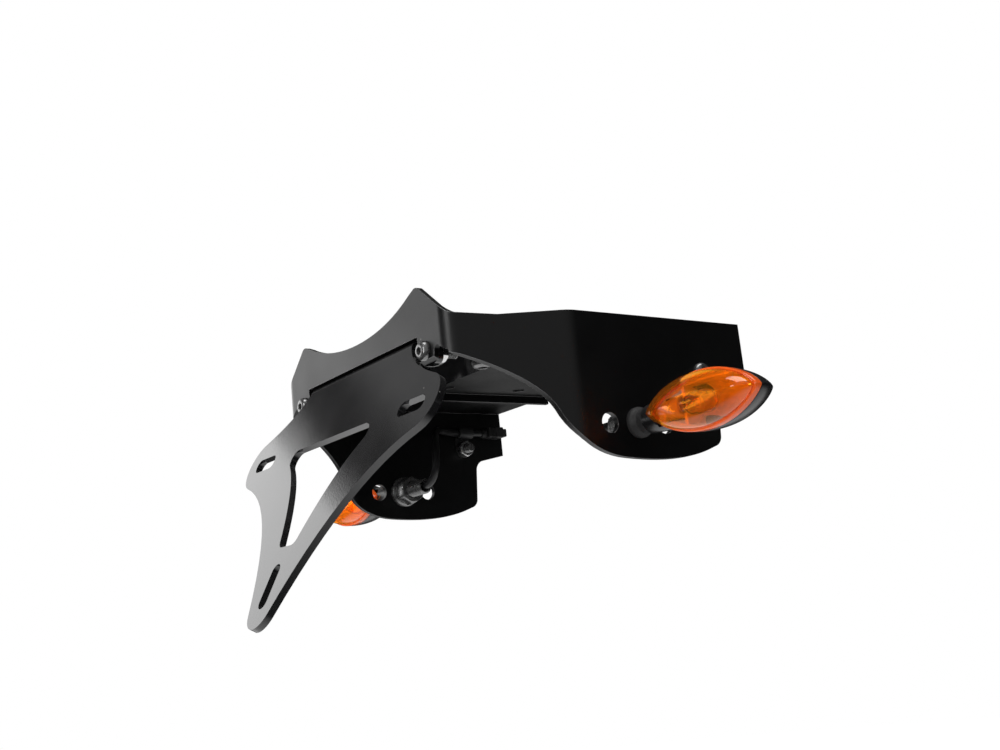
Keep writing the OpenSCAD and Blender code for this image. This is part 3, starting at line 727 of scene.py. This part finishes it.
def smooth_path(points, spans):
    """A smooth line through points, its slopes shared between neighbours."""
    path = []
    last = len(points) - 1
    for i in range(last):
        before, a, b, after = points[max(i - 1, 0)], points[i], points[i + 1], points[min(i + 2, last)]
        for k in range(spans):
            u = k / spans
            path.append(0.5 * (2 * a + (b - before) * u + (2 * before - 5 * a + 4 * b - after) * u * u
                               + (3 * a - before - 3 * b + after) * u ** 3))
    path.append(points[last])
    return path


def heading(path, i):
    """Direction of a path at one of its points."""
    return (path[min(i + 1, len(path) - 1)] - path[max(i - 1, 0)]).normalized()


def tube(path, radius, count=16):
    """A round bar along a path."""
    loops = []
    side = (path[1] - path[0]).orthogonal()
    for i, point in enumerate(path):
        ahead = heading(path, i)
        side = (side - ahead * side.dot(ahead)).normalized()
        other = ahead.cross(side)
        loops.append([point + radius * (side * math.cos(math.tau * k / count)
                                        + other * math.sin(math.tau * k / count)) for k in range(count)])
    return skin(loops)


CLIP_BAND = 1.0
CLIP_HOLE = 2.75
CLIP_HOLE_LENGTH = 12
# Height above its foot at which the band's straight part is held
STRAIGHT_AT = 8
FOOT_STEPS = 8
CURL_STEP = math.radians(10)
CURL_STEPS = 31


def clip_band(ring_centre, tail_x, tail_foot, half_width):
    """A flat band that rises from its rounded foot and curls round the lead."""
    reach = tail_x - ring_centre.x
    rises = [half_width * (1 - math.cos(math.pi / 2 / FOOT_STEPS * k)) for k in range(1, FOOT_STEPS + 1)]
    heights = [tail_foot + rise for rise in rises + [STRAIGHT_AT]] + [ring_centre.z]
    path = [Vector((tail_x, ring_centre.y, height)) for height in heights]
    for k in range(1, CURL_STEPS + 1):
        angle = CURL_STEP * k
        path.append(ring_centre + reach * Vector((math.cos(angle), 0, math.sin(angle))))
    half = CLIP_BAND / 2
    loops = []
    for i, point in enumerate(path):
        out = heading(path, i).cross(Y_AXIS)
        wide = half_width
        if i < FOOT_STEPS:
            wide = math.sqrt(max(0.01, half_width ** 2 - (half_width + tail_foot - point.z) ** 2))
        cut = min(0.15, wide / 3)
        corners = [(-half, wide - cut), (-half, cut - wide), (cut - half, -wide), (half - cut, -wide),
                   (half, cut - wide), (half, wide - cut), (half - cut, wide), (cut - half, wide)]
        loops.append([point + out * u + Y_AXIS * v for u, v in corners])
    return skin(loops)


CORNER_POINTS = 8


def rounded_block(centre, half_x, half_z, corner, y):
    """A loop of points round a block's section, its corners rounded."""
    points = []
    for quarter, (sx, sz) in enumerate(((1, 1), (-1, 1), (-1, -1), (1, -1))):
        for k in range(CORNER_POINTS):
            angle = math.pi / 2 * (quarter + k / (CORNER_POINTS - 1))
            points.append(Vector((centre.x + sx * (half_x - corner) + corner * math.cos(angle), y,
                                  centre.z + sz * (half_z - corner) + corner * math.sin(angle))))
    return points


# Half width, half height and corner radius of the plug's body and nose
PLUG_BODY = (3.75, 3.0, 0.7)
PLUG_NOSE = (3.2, 2.2, 0.5)
BODY_SHIFT = Vector((-0.75, 0, 0))


def plug_part(centre, section, profile):
    """Skin of a rounded block from pairs of distance along Y and depth below its section."""
    half_x, half_z, corner = section
    return skin([rounded_block(centre, half_x - cut, half_z - cut, corner, centre.y + rise)
                 for rise, cut in profile])


def plug_skins(start):
    """A ribbed seal, a body with grips and a latch, and an open nose."""
    seal = [(0, 2.1), (0.1, 2.5)]
    for k in range(3):
        seal += [(0.3 + 0.9 * k, 2.5), (0.45 + 0.9 * k, 2.78), (0.75 + 0.9 * k, 2.78), (0.9 + 0.9 * k, 2.5)]
    centre = start + BODY_SHIFT
    body = [(3.0, 0.4), (3.3, 0.08), (3.6, 0.0)]
    for k in range(4):
        body += [(4.4 + k, 0.0), (4.55 + k, 0.22), (4.95 + k, 0.22), (5.1 + k, 0.0)]
    body += [(12.6, 0.0), (12.9, 0.12), (13.0, 0.3)]
    nose = [(12.8, 0.0), (15.7, 0.0), (15.96, 0.2), (15.96, 0.6), (15.7, 0.8), (13.4, 0.8)]
    latch = [[Vector((centre.x + u, start.y + rise, start.z + w)) for u, w in
              ((-1.3, 2.7), (1.3, 2.7), (1.3, top - 0.2), (1.1, top), (-1.1, top), (-1.3, top - 0.2))]
             for rise, top in ((4.6, 3.02), (5.2, 3.5), (9.6, 3.5), (11.4, 3.02))]
    return [skin(turned(start, Y_AXIS, seal + [(3.2, 2.5)])), plug_part(centre, PLUG_BODY, body),
            plug_part(start, PLUG_NOSE, nose), skin(latch)]


def add_leads(name, side):
    """A lead with its clip and its plug."""
    route = smooth_path([Vector(p) + ROUTE_SHIFT for p in LEAD_ROUTE], ROUTE_STEPS)
    end = route[-1]
    add_piece("lead_sheath_" + name, [tube(route, LEAD_RADIUS)], side, "lead_sheath", "lead_" + name)
    low, high = drawn_box("lead_clip_right")
    middle = Vector((end.x, (low.y + high.y) / 2, end.z))
    band = clip_band(middle, high.x - CLIP_BAND / 2, low.z, (high.y - low.y) / 2)
    clip = solid("lead_loop_" + name, [band], side)
    nut_low, nut_high = drawn_box("side_nut_right")
    hole = Vector((low.x - 1, middle.y, (nut_low.z + nut_high.z) / 2))
    carve(clip, side, rod(hole, CLIP_HOLE_LENGTH, CLIP_HOLE))
    fit_out(clip, "plug_plastic", "lead_clip_" + name)
    add_piece("lead_connector_" + name, plug_skins(end), side, "plug_plastic", "lead_plug_" + name)


STUD_BORE = 2.5
STUD_COLLAR = 4.8
COLLAR_THICK = 1.5
# Hole in the stud's washer and in the housing's boss
STUD_HOLE = 4.25
THREAD_PAST_EAR = 2.0
STUD_WASHER_RADIUS = 8.0
NUT_FLANGE = 7.8
STEM_HOLE = 4.27
STEM_LENGTH = 7.98


def add_stud(name, side):
    """Hollow stud with its washer and nut, and the rubber stem outside the ear."""
    start, whole = along("stud_right", X_AXIS)
    ear, thick = along("stud_washer_right", -X_AXIS)
    shank = M8["shank"]
    neck = whole - COLLAR_THICK
    loops = turned(start, X_AXIS, [
        (0.4, STUD_BORE), (0, STUD_BORE + 0.4), (0, shank - 0.7), (0.6, shank - 0.1)])
    loops += thread(start + X_AXIS * 0.7, X_AXIS, shank, M8["pitch"], ear.x - start.x + THREAD_PAST_EAR)
    loops += turned(start, X_AXIS, [
        (neck, shank), (neck, STUD_COLLAR - 0.2), (neck + 0.2, STUD_COLLAR), (whole - 0.2, STUD_COLLAR),
        (whole, STUD_COLLAR - 0.2), (whole, STUD_BORE + 0.3), (whole - 0.3, STUD_BORE)])
    add_piece("hollow_stud_" + name, [skin(loops, closed=True)], side, "black_steel", "stud_" + name)
    add_piece("wide_washer_" + name, [washer(ear, -X_AXIS, STUD_WASHER_RADIUS, STUD_HOLE, thick)], side,
              "black_steel", "stud_washer_" + name)
    nut = flanged_nut(*along("stud_nut_right", -X_AXIS))
    add_piece("flanged_nut_" + name, [nut], side, "black_steel", "stud_nut_" + name)

    foot = radius_of("stem_right")
    profile = [(0, STEM_HOLE), (0, foot - 0.25), (0.08, foot - 0.07), (0.25, foot), (1.75, foot),
               (2.1, foot - 0.1), (2.5, foot - 0.35), (3.0, foot - 0.66), (3.6, foot - 0.92),
               (4.2, foot - 1.08)]
    for k in range(3):
        profile += [(4.5 + k, foot - 1.2), (4.65 + k, foot - 1.45), (4.9 + k, foot - 1.45),
                    (5.05 + k, foot - 1.2)]
    profile += [(7.8, foot - 1.2), (STEM_LENGTH, foot - 1.35), (STEM_LENGTH, STEM_HOLE)]
    stem = skin(turned(along("stem_right", X_AXIS)[0], X_AXIS, profile), closed=True)
    add_piece("rubber_stem_" + name, [stem], side, "stem_rubber", "stem_" + name)


LENS_BOX = drawn_box("lens_right")
# Where lens and housing meet
MEETING_Y = drawn_box("reflector_right")[0].y + 1.0
OUTLINE_POINTS = 96
POINT_POWER = 1.5
DOME_LOOPS = 22
DOME_TURN = math.radians(88.5)
WALL = 1.8
LIP = 1.0
LENS_FULLNESS = 0.78


def teardrop(inset, y, share=1):
    """A loop on the indicator's outline, drawn in from the lens's rim, at a share of its size."""
    low, high = LENS_BOX
    middle = (low + high) / 2
    half_length = (high.x - low.x) / 2 - inset
    half_height = (high.z - low.z) / 2 - inset
    points = []
    for k in range(OUTLINE_POINTS):
        angle = math.tau * k / OUTLINE_POINTS
        rise = math.copysign(abs(math.sin(angle)) ** POINT_POWER, math.sin(angle))
        points.append(Vector((middle.x + half_length * share * math.cos(angle), y,
                              middle.z + half_height * share * rise)))
    return points


def dome(inset, start, depth, fullness=1.0):
    """Loops from the outline to the top of a dome; lower fullness swells its shoulders."""
    loops = []
    for k in range(DOME_LOOPS + 1):
        angle = DOME_TURN * k / DOME_LOOPS
        rise = depth * math.sin(angle) ** fullness
        loops.append(teardrop(inset, start + rise, math.cos(angle) ** fullness))
    return loops


# How far forward of the rim the dome starts, and the dense band of the rim ends
DOME_START = 1.45
RIM_BAND = 1.3


def add_lens(name, side):
    """Amber cover with a lip inside the housing, a rolled rim and a domed front, and its seal."""
    front = LENS_BOX[0].y
    rim = LENS_BOX[1].y
    join = MEETING_Y - 0.15
    loops = list(reversed(dome(WALL + 0.4, rim, front + WALL - rim, LENS_FULLNESS)))
    loops += [teardrop(inset, y) for inset, y in (
        (LIP, rim + 0.02), (LIP, join), (0.15, join), (0, join - 0.15), (0, rim - 0.5), (0.06, rim - 0.8),
        (0.22, rim - 1.05), (0.45, rim - 1.2), (0.7, rim - 1.25), (0.88, rim - 1.32))]
    loops += dome(LIP, rim - DOME_START, front - rim + DOME_START, LENS_FULLNESS)
    cover = solid("amber_cover_" + name, [skin(loops)], side)
    fit_out(cover, "amber", "lens_" + name)
    cover.data.materials.append(RIM_FINISH)
    rim_front = DRAWING_ORIGIN.y + (rim - RIM_BAND) * MM
    for face in cover.data.polygons:
        if face.center.y > rim_front:
            face.material_index = 1

    low, high = drawn_box("gasket_right")
    loops = [teardrop(inset, y) for inset, y in (
        (LIP + 0.1, high.y), (LIP + 0.1, low.y + 0.05), (WALL - 0.1, low.y + 0.05), (WALL - 0.1, high.y))]
    add_piece("seal_ring_" + name, [skin(loops, closed=True)], side, "seal_rubber", "gasket_" + name)


RIB_THICK = 1.5
DISH_DEPTH = 11.0
DISH_WALL = 1.2
DISH_INSET = WALL + 0.6
BULB_HOLE = 3.25
# Pocket round the bulb holder, left of the rib
POCKET_LENGTH = 10.2
POCKET_HALF_HEIGHT = 5.0
# Openings right of the rib: start, width, foot and height
OPENINGS = ((RIB_THICK, 7.5, 4.8, 3.0), (RIB_THICK + 0.5, 9.0, -6.8, 2.4))
# How far cutters run past what they cut
CLEAR = 20
TIP_CLEAR = 30


def add_reflector(name, side):
    """Plated rim and dish, closed by a rib that the bulb passes through."""
    centre, _ = along("bulb_right", X_AXIS)
    face = drawn_box("reflector_right")[0].y + 0.05
    back = MEETING_Y - 0.05
    rib = drawn_box("bulb_holder_right")[1].x
    tip = rib - POCKET_LENGTH
    near, far = face - 6, MEETING_Y + CLEAR
    below, above = centre.z - CLEAR, centre.z + CLEAR
    edge = DISH_INSET + DISH_WALL
    loops = list(reversed(dome(edge, MEETING_Y, DISH_DEPTH - DISH_WALL)))
    loops += [teardrop(inset, y) for inset, y in (
        (edge - 0.1, face + 0.3), (edge - 0.4, face), (LIP + 0.3, face), (LIP + 0.1, face + 0.2),
        (LIP + 0.1, back))]
    loops += dome(DISH_INSET, MEETING_Y, DISH_DEPTH)
    dish = solid("plated_dish_" + name, [skin(loops)], side)
    carve(dish, side, block((tip - TIP_CLEAR, back, below), (tip, far, above)))
    plate = solid("tip plate", [skin([teardrop(LIP + 0.15, y) for y in (face + 0.15, back)])], side)
    tip_part = block((tip - TIP_CLEAR, face - 1, below), (tip, MEETING_Y + 1, above))
    combine(plate, "INTERSECT", solid("tip part", [tip_part], side))
    combine(dish, "UNION", plate)
    pocket = block((tip, near + 1, centre.z - POCKET_HALF_HEIGHT), (rib, far, centre.z + POCKET_HALF_HEIGHT))
    carve(dish, side, pocket)
    filled = [teardrop(DISH_INSET + 0.2, face + 0.1)] + dome(DISH_INSET + 0.2, MEETING_Y, DISH_DEPTH - 0.2)
    wall = solid("rib", [skin(filled)], side)
    cut_out = block((rib, near, LENS_BOX[0].z - 5), (rib + RIB_THICK, far + 1, LENS_BOX[1].z + 5))
    combine(wall, "INTERSECT", solid("slice", [cut_out], side))
    combine(dish, "UNION", wall)
    carve(dish, side, rod(Vector((rib - 2, centre.y, centre.z)), 6, BULB_HOLE))
    for start, width, foot, tall in OPENINGS:
        x, z = rib + start, centre.z + foot
        carve(dish, side, block((x, near, z), (x + width, far, z + tall)))
    fit_out(dish, "bright", "reflector_" + name)


BOSS_RADIUS = 6.5
# How far the boss runs on past the collar's seat
BOSS_PAST_SEAT = 6.8
POCKET_CLEARANCE = 0.25
COLLAR_POCKET = 5


def add_housing(name, side):
    """Smooth shell with its boss on the stud's line and a pocket for the stud's collar."""
    low, high = drawn_box("housing_right")
    stud = along("stud_right", X_AXIS)[0]
    start = Vector((low.x, stud.y, stud.z))
    seat = Vector((drawn_box("stud_right")[1].x - COLLAR_THICK, stud.y, stud.z))
    collar = radius_of("stud_right") + POCKET_CLEARANCE
    depth = high.y - MEETING_Y
    outer = [teardrop(0.25, MEETING_Y), teardrop(0.05, MEETING_Y + 0.12)]
    outer += dome(0, MEETING_Y + 0.35, depth - 0.35)
    inner = [teardrop(WALL, MEETING_Y - 1)] + dome(WALL, MEETING_Y, depth - WALL)
    shell = solid("gloss_shell_" + name, [skin(outer)], side)
    reach = seat.x - low.x
    boss = turned(start, X_AXIS, [(0, BOSS_RADIUS - 0.9), (0.3, BOSS_RADIUS - 0.6), (reach, BOSS_RADIUS),
                                  (reach + BOSS_PAST_SEAT, BOSS_RADIUS)])
    combine(shell, "UNION", solid("boss", [skin(boss)], side))
    lens_side = block((LENS_BOX[0].x - 0.3, MEETING_Y - CLEAR, stud.z - CLEAR),
                      (LENS_BOX[0].x + 2 * CLEAR, MEETING_Y, stud.z + CLEAR))
    bore = rod(start - X_AXIS, reach + 1.5, STUD_HOLE)
    pocket = rod(seat, COLLAR_POCKET, collar)
    mouth = block((seat.x, seat.y - BOSS_RADIUS - 1, seat.z - collar),
                  (seat.x + COLLAR_POCKET, seat.y, seat.z + collar))
    carve(shell, side, skin(inner), lens_side, bore, pocket, mouth)
    fit_out(shell, "housing_plastic", "housing_" + name)


GLASS_THICK = 0.5
TIP_STEPS = 12
TIP_STEP = math.radians(7)
WIRE_RADIUS = 0.22
COIL_WIRE = 0.13
COIL_RADIUS = 0.5
COIL_HALF_LENGTH = 2.1
COIL_REACH = 6.4
COIL_TURNS = 8
STEPS_A_TURN = 12


def capsule(start, length, radius, inset):
    """Loops of the bulb's glass from its neck to its tip, drawn in by an inset."""
    body = [(0.2 + inset, 3.0 - inset), (0.8 + inset, 3.7 - inset), (1.7 + inset, 4.3 - inset),
            (2.8, radius - inset)]
    tip = [(length - radius + (radius - inset) * math.sin(TIP_STEP * k),
            (radius - inset) * math.cos(TIP_STEP * k)) for k in range(TIP_STEPS + 1)]
    return turned(start, X_AXIS, body + tip)


def filament(start):
    """Skins of two wires that spread from the cap, and the coil between them."""
    wires = []
    for z in (-1.1, 1.1):
        path = [(-2.2, 0, z * 0.7), (0, 0, z * 0.8), (3, 0, z), (5.4, 0, z * 1.6), (6.6, 0, z * 1.9)]
        wires.append(tube([start + Vector(p) for p in path], WIRE_RADIUS, 8))
    coil = []
    steps = COIL_TURNS * STEPS_A_TURN
    for k in range(steps + 1):
        turn = math.tau * k / STEPS_A_TURN
        coil.append(start + Vector((COIL_REACH + COIL_RADIUS * math.cos(turn), COIL_RADIUS * math.sin(turn),
                                    COIL_HALF_LENGTH * (2 * k / steps - 1))))
    return wires + [tube(coil, COIL_WIRE, 6)]


def add_bulb(name, side):
    """Glass capsule on a metal cap, its filament on two wires, and the holder."""
    neck, whole = along("bulb_right", X_AXIS)
    radius = radius_of("bulb_right")
    seat, deep = along("bulb_holder_right", X_AXIS)
    start = Vector((seat.x + deep + RIB_THICK, neck.y, neck.z))
    length = neck.x + whole - start.x
    foot = neck.x - start.x
    loops = list(reversed(capsule(start, length, radius, GLASS_THICK)))
    loops += turned(start, X_AXIS, [(0.2, 2.4), (-1.8, 2.3), (-1.9, 2.6)])
    loops += capsule(start, length, radius, 0)
    add_piece("bulb_glass_" + name, [skin(loops)], side, "bulb_glass", "bulb_" + name)
    cap = skin(turned(start, X_AXIS, [
        (foot, 2.2), (foot, 2.8), (foot + 0.2, 3.0), (-4.2, 3.0), (-4.0, 2.8), (-3.7, 2.8),
        (-3.5, 3.0), (-2.2, 3.0), (-2.0, 2.8)]))
    add_piece("bulb_wires_" + name, [cap] + filament(start), side, "zinc")
    outer = radius_of("bulb_holder_right")
    socket = skin(turned(seat, X_AXIS, [
        (0, outer - 0.6), (0.3, outer - 0.3), (1.6, outer - 0.3), (1.8, outer), (2.6, outer),
        (2.8, outer - 0.4), (4.6, outer - 0.4), (4.8, outer), (deep - 0.3, outer), (deep - 0.02, outer - 0.3),
        (deep - 0.02, 3.5), (deep - 0.3, BULB_HOLE), (2.1, BULB_HOLE)]))
    add_piece("bulb_socket_" + name, [socket], side, "holder_plastic", "bulb_holder_" + name)


# Camera at the photograph's place, fitted to the blade, the ears and the lenses
CAMERA_AT = Vector((0.4571, -0.3496, -0.1240))
CAMERA_FORWARD = Vector((-0.7888, 0.5785, 0.2076)).normalized()
CAMERA_RIGHT = Vector((0.5712, 0.8147, -0.1000)).normalized()
CAMERA_LENS = 43.2
SENSOR_WIDTH = 36.0


def set_camera():
    """The camera as fitted."""
    camera = bpy.data.objects.new("camera", bpy.data.cameras.new("camera"))
    bpy.context.scene.collection.objects.link(camera)
    camera.data.lens = CAMERA_LENS
    camera.data.sensor_width = SENSOR_WIDTH
    camera.data.clip_start = 0.01
    up = CAMERA_RIGHT.cross(CAMERA_FORWARD).normalized()
    turn = Matrix((CAMERA_RIGHT, up, -CAMERA_FORWARD)).transposed().to_4x4()
    camera.matrix_world = Matrix.Translation(CAMERA_AT) @ turn
    bpy.context.scene.camera = camera


def softbox(name, position, target, width, height, power):
    """A broad area lamp aimed at a point."""
    lamp = bpy.data.lights.new(name, "AREA")
    lamp.shape = "RECTANGLE"
    lamp.size = width
    lamp.size_y = height
    lamp.energy = power
    light = bpy.data.objects.new(name, lamp)
    bpy.context.scene.collection.objects.link(light)
    aim = Vector(target) - Vector(position)
    light.rotation_euler = aim.to_track_quat("-Z", "Y").to_euler()
    light.location = position
    return light


def set_lights():
    """Lamps on the far side, above, behind, and at the left rear, the last not seen in reflections."""
    softbox("far side lamp", (-1.5, -0.45, 0.33), (0, -0.1, -0.05), 1.8, 0.7, 4.0)
    softbox("top lamp", (0.25, -0.1, 1.5), (0, -0.05, -0.03), 1.6, 0.6, 14)
    softbox("rear strip lamp", (0.2, -1.5, 0.25), (0, -0.05, -0.03), 0.3, 1.0, 6)
    fill = softbox("left rear lamp", (-0.9, -1.2, 0.1), (0.14, -0.03, -0.05), 1.0, 0.8, 22)
    fill.visible_glossy = False


def eye_rays(tree):
    """Masks of rays: those of the eye, straight or through glass, the mirrored ones, those through glass."""
    path = add_node(tree, "ShaderNodeLightPath")
    through = path.outputs["Is Transmission Ray"]
    by_eye = math_node(tree, "MAXIMUM", path.outputs["Is Camera Ray"], through)
    return by_eye, path.outputs["Is Glossy Ray"], through


# Strength of the world as light
PLAIN_LEVEL = 0.5
# Reflections of the world: full on the pale side up to a height, dim above it, with a weaker glow
# higher up, and a soft glow on the near side; heights and sides are parts of a direction of length 1
PALE_SIDE = Vector((-0.995, 0.1, 0.0)).normalized()
PALE_SIDE_EDGE = (0.58, 0.78)
PALE_HEIGHT_EDGE = (0.445, 0.475)
FRONT_EDGE = (0.2, 0.4)
DIM_REFLECTION = 0.02
HIGH_GLOW = 0.22
HIGH_GLOW_EDGE = (0.50, 0.54)
NEAR_GLOW = 0.35
NEAR_SIDE_EDGE = (-0.2, 0.2)
NEAR_FRONT_EDGE = (0.1, 0.5)
NEAR_FRONT_DIM = 0.01


def set_world():
    """White to the eye, a plain level for light, and reflections that darken overhead."""
    world = bpy.data.worlds.new("studio")
    bpy.context.scene.world = world
    world.use_nodes = True
    tree = world.node_tree
    where = add_node(tree, "ShaderNodeTexCoord")
    towards = add_node(tree, "ShaderNodeVectorMath", operation="DOT_PRODUCT")
    towards.inputs[1].default_value = PALE_SIDE
    parts = add_node(tree, "ShaderNodeSeparateXYZ")
    for node in (towards, parts):
        tree.links.new(where.outputs["Generated"], node.inputs[0])
    right, forward, up = parts.outputs
    low_band = span(tree, up, *PALE_HEIGHT_EDGE, 1.0, DIM_REFLECTION)
    high_band = span(tree, up, *HIGH_GLOW_EDGE, DIM_REFLECTION, HIGH_GLOW)
    bands = math_node(tree, "MAXIMUM", low_band, high_band)
    pale_band = span(tree, towards.outputs["Value"], *PALE_SIDE_EDGE, DIM_REFLECTION, 1.0)
    behind = span(tree, forward, *FRONT_EDGE, 1.0, DIM_REFLECTION)
    far_side = math_node(tree, "MINIMUM", math_node(tree, "MINIMUM", bands, pale_band), behind)
    near_side = math_node(tree, "MINIMUM", span(tree, right, *NEAR_SIDE_EDGE, 0.0, NEAR_GLOW),
                          span(tree, forward, *NEAR_FRONT_EDGE, NEAR_GLOW, NEAR_FRONT_DIM))
    plain, shine, seen = [add_node(tree, "ShaderNodeBackground", Color=(1, 1, 1, 1), Strength=strength)
                          for strength in (PLAIN_LEVEL, 1.0, 1.0)]
    tree.links.new(math_node(tree, "MAXIMUM", far_side, near_side), shine.inputs["Strength"])
    by_eye, glossy, _ = eye_rays(tree)
    result = plain.outputs["Background"]
    for mask, shade in ((glossy, shine), (by_eye, seen)):
        mix = add_node(tree, "ShaderNodeMixShader")
        tree.links.new(mask, mix.inputs["Fac"])
        tree.links.new(result, mix.inputs[1])
        tree.links.new(shade.outputs["Background"], mix.inputs[2])
        result = mix.outputs["Shader"]
    tree.links.new(result, tree.nodes["World Output"].inputs["Surface"])
    tree.nodes.remove(tree.nodes["Background"])


FLOOR_Z = -0.40
FLOOR_RADIUS = 2.2
FLOOR_CORNERS = 64
FLOOR_GREY = 0.62
# Distances from the middle, and the floor's own glow there
GLOW_EDGE = (0.6, 1.7)
GLOW = (0.3, 0.7)
# Round patch that shows pale in reflections: its middle, the distances over which it fades, and how far
PALE_PATCH = (-0.2, 0.25, FLOOR_Z)
PATCH_EDGE = (0.45, 0.7)
PATCH_FADE = 0.97


def set_floor():
    """A round pale floor that keeps the shadow and turns white towards its edge."""
    mesh = bpy.data.meshes.new("floor")
    edge = ring(Vector((0, 0, FLOOR_Z)), Z_AXIS, FLOOR_RADIUS, FLOOR_CORNERS)
    mesh.from_pydata(edge, [], [tuple(range(FLOOR_CORNERS))])
    floor = bpy.data.objects.new("floor", mesh)
    bpy.context.scene.collection.objects.link(floor)
    pale = Finish("pale floor", (FLOOR_GREY,) * 3, 0.9, Specular_IOR_Level=0.0)
    tree = pale.tree
    where = add_node(tree, "ShaderNodeTexCoord")
    from_middle = add_node(tree, "ShaderNodeVectorMath", operation="LENGTH")
    from_patch = add_node(tree, "ShaderNodeVectorMath", operation="DISTANCE")
    from_patch.inputs[1].default_value = PALE_PATCH
    for node in (from_middle, from_patch):
        tree.links.new(where.outputs["Object"], node.inputs[0])
    outward = span(tree, from_middle.outputs["Value"], *GLOW_EDGE, *GLOW, "LINEAR")
    faded = span(tree, from_patch.outputs["Value"], *PATCH_EDGE, 0.0, PATCH_FADE)
    by_eye, glossy, through = eye_rays(tree)
    shown = math_node(tree, "MAXIMUM", by_eye, glossy)
    mirrored = math_node(tree, "MAXIMUM", math_node(tree, "SUBTRACT", glossy, through), 0.0)
    kept = math_node(tree, "SUBTRACT", 1.0, math_node(tree, "MULTIPLY", mirrored, faded))
    glow = math_node(tree, "MULTIPLY", math_node(tree, "MULTIPLY", shown, kept), outward)
    shade = math_node(tree, "MULTIPLY", FLOOR_GREY, kept)
    grey = add_node(tree, "ShaderNodeCombineColor")
    for channel in grey.inputs[:3]:
        tree.links.new(shade, channel)
    tree.links.new(grey.outputs["Color"], pale.base)
    pale.shader.inputs["Emission Color"].default_value = (1, 1, 1, 1)
    tree.links.new(glow, pale.shader.inputs["Emission Strength"])
    floor.data.materials.append(pale.material)


paint_nodes()
# The plate's and the tray's edges get colours far lighter than their faces: painted highlights along the
# edges
soften("plate_bracket", 0.35 * MM, worn_edge_painted_highlight())
soften("undertray", 0.8 * MM, moulding_edge_painted_highlight())
add_fasteners()
for side_name, side_sign in SIDES.items():
    for add in (add_leads, add_stud, add_lens, add_reflector, add_housing, add_bulb):
        add(side_name, side_sign)
set_camera()
set_lights()
set_world()
set_floor()
bpy.context.scene.view_settings.view_transform = "Standard"
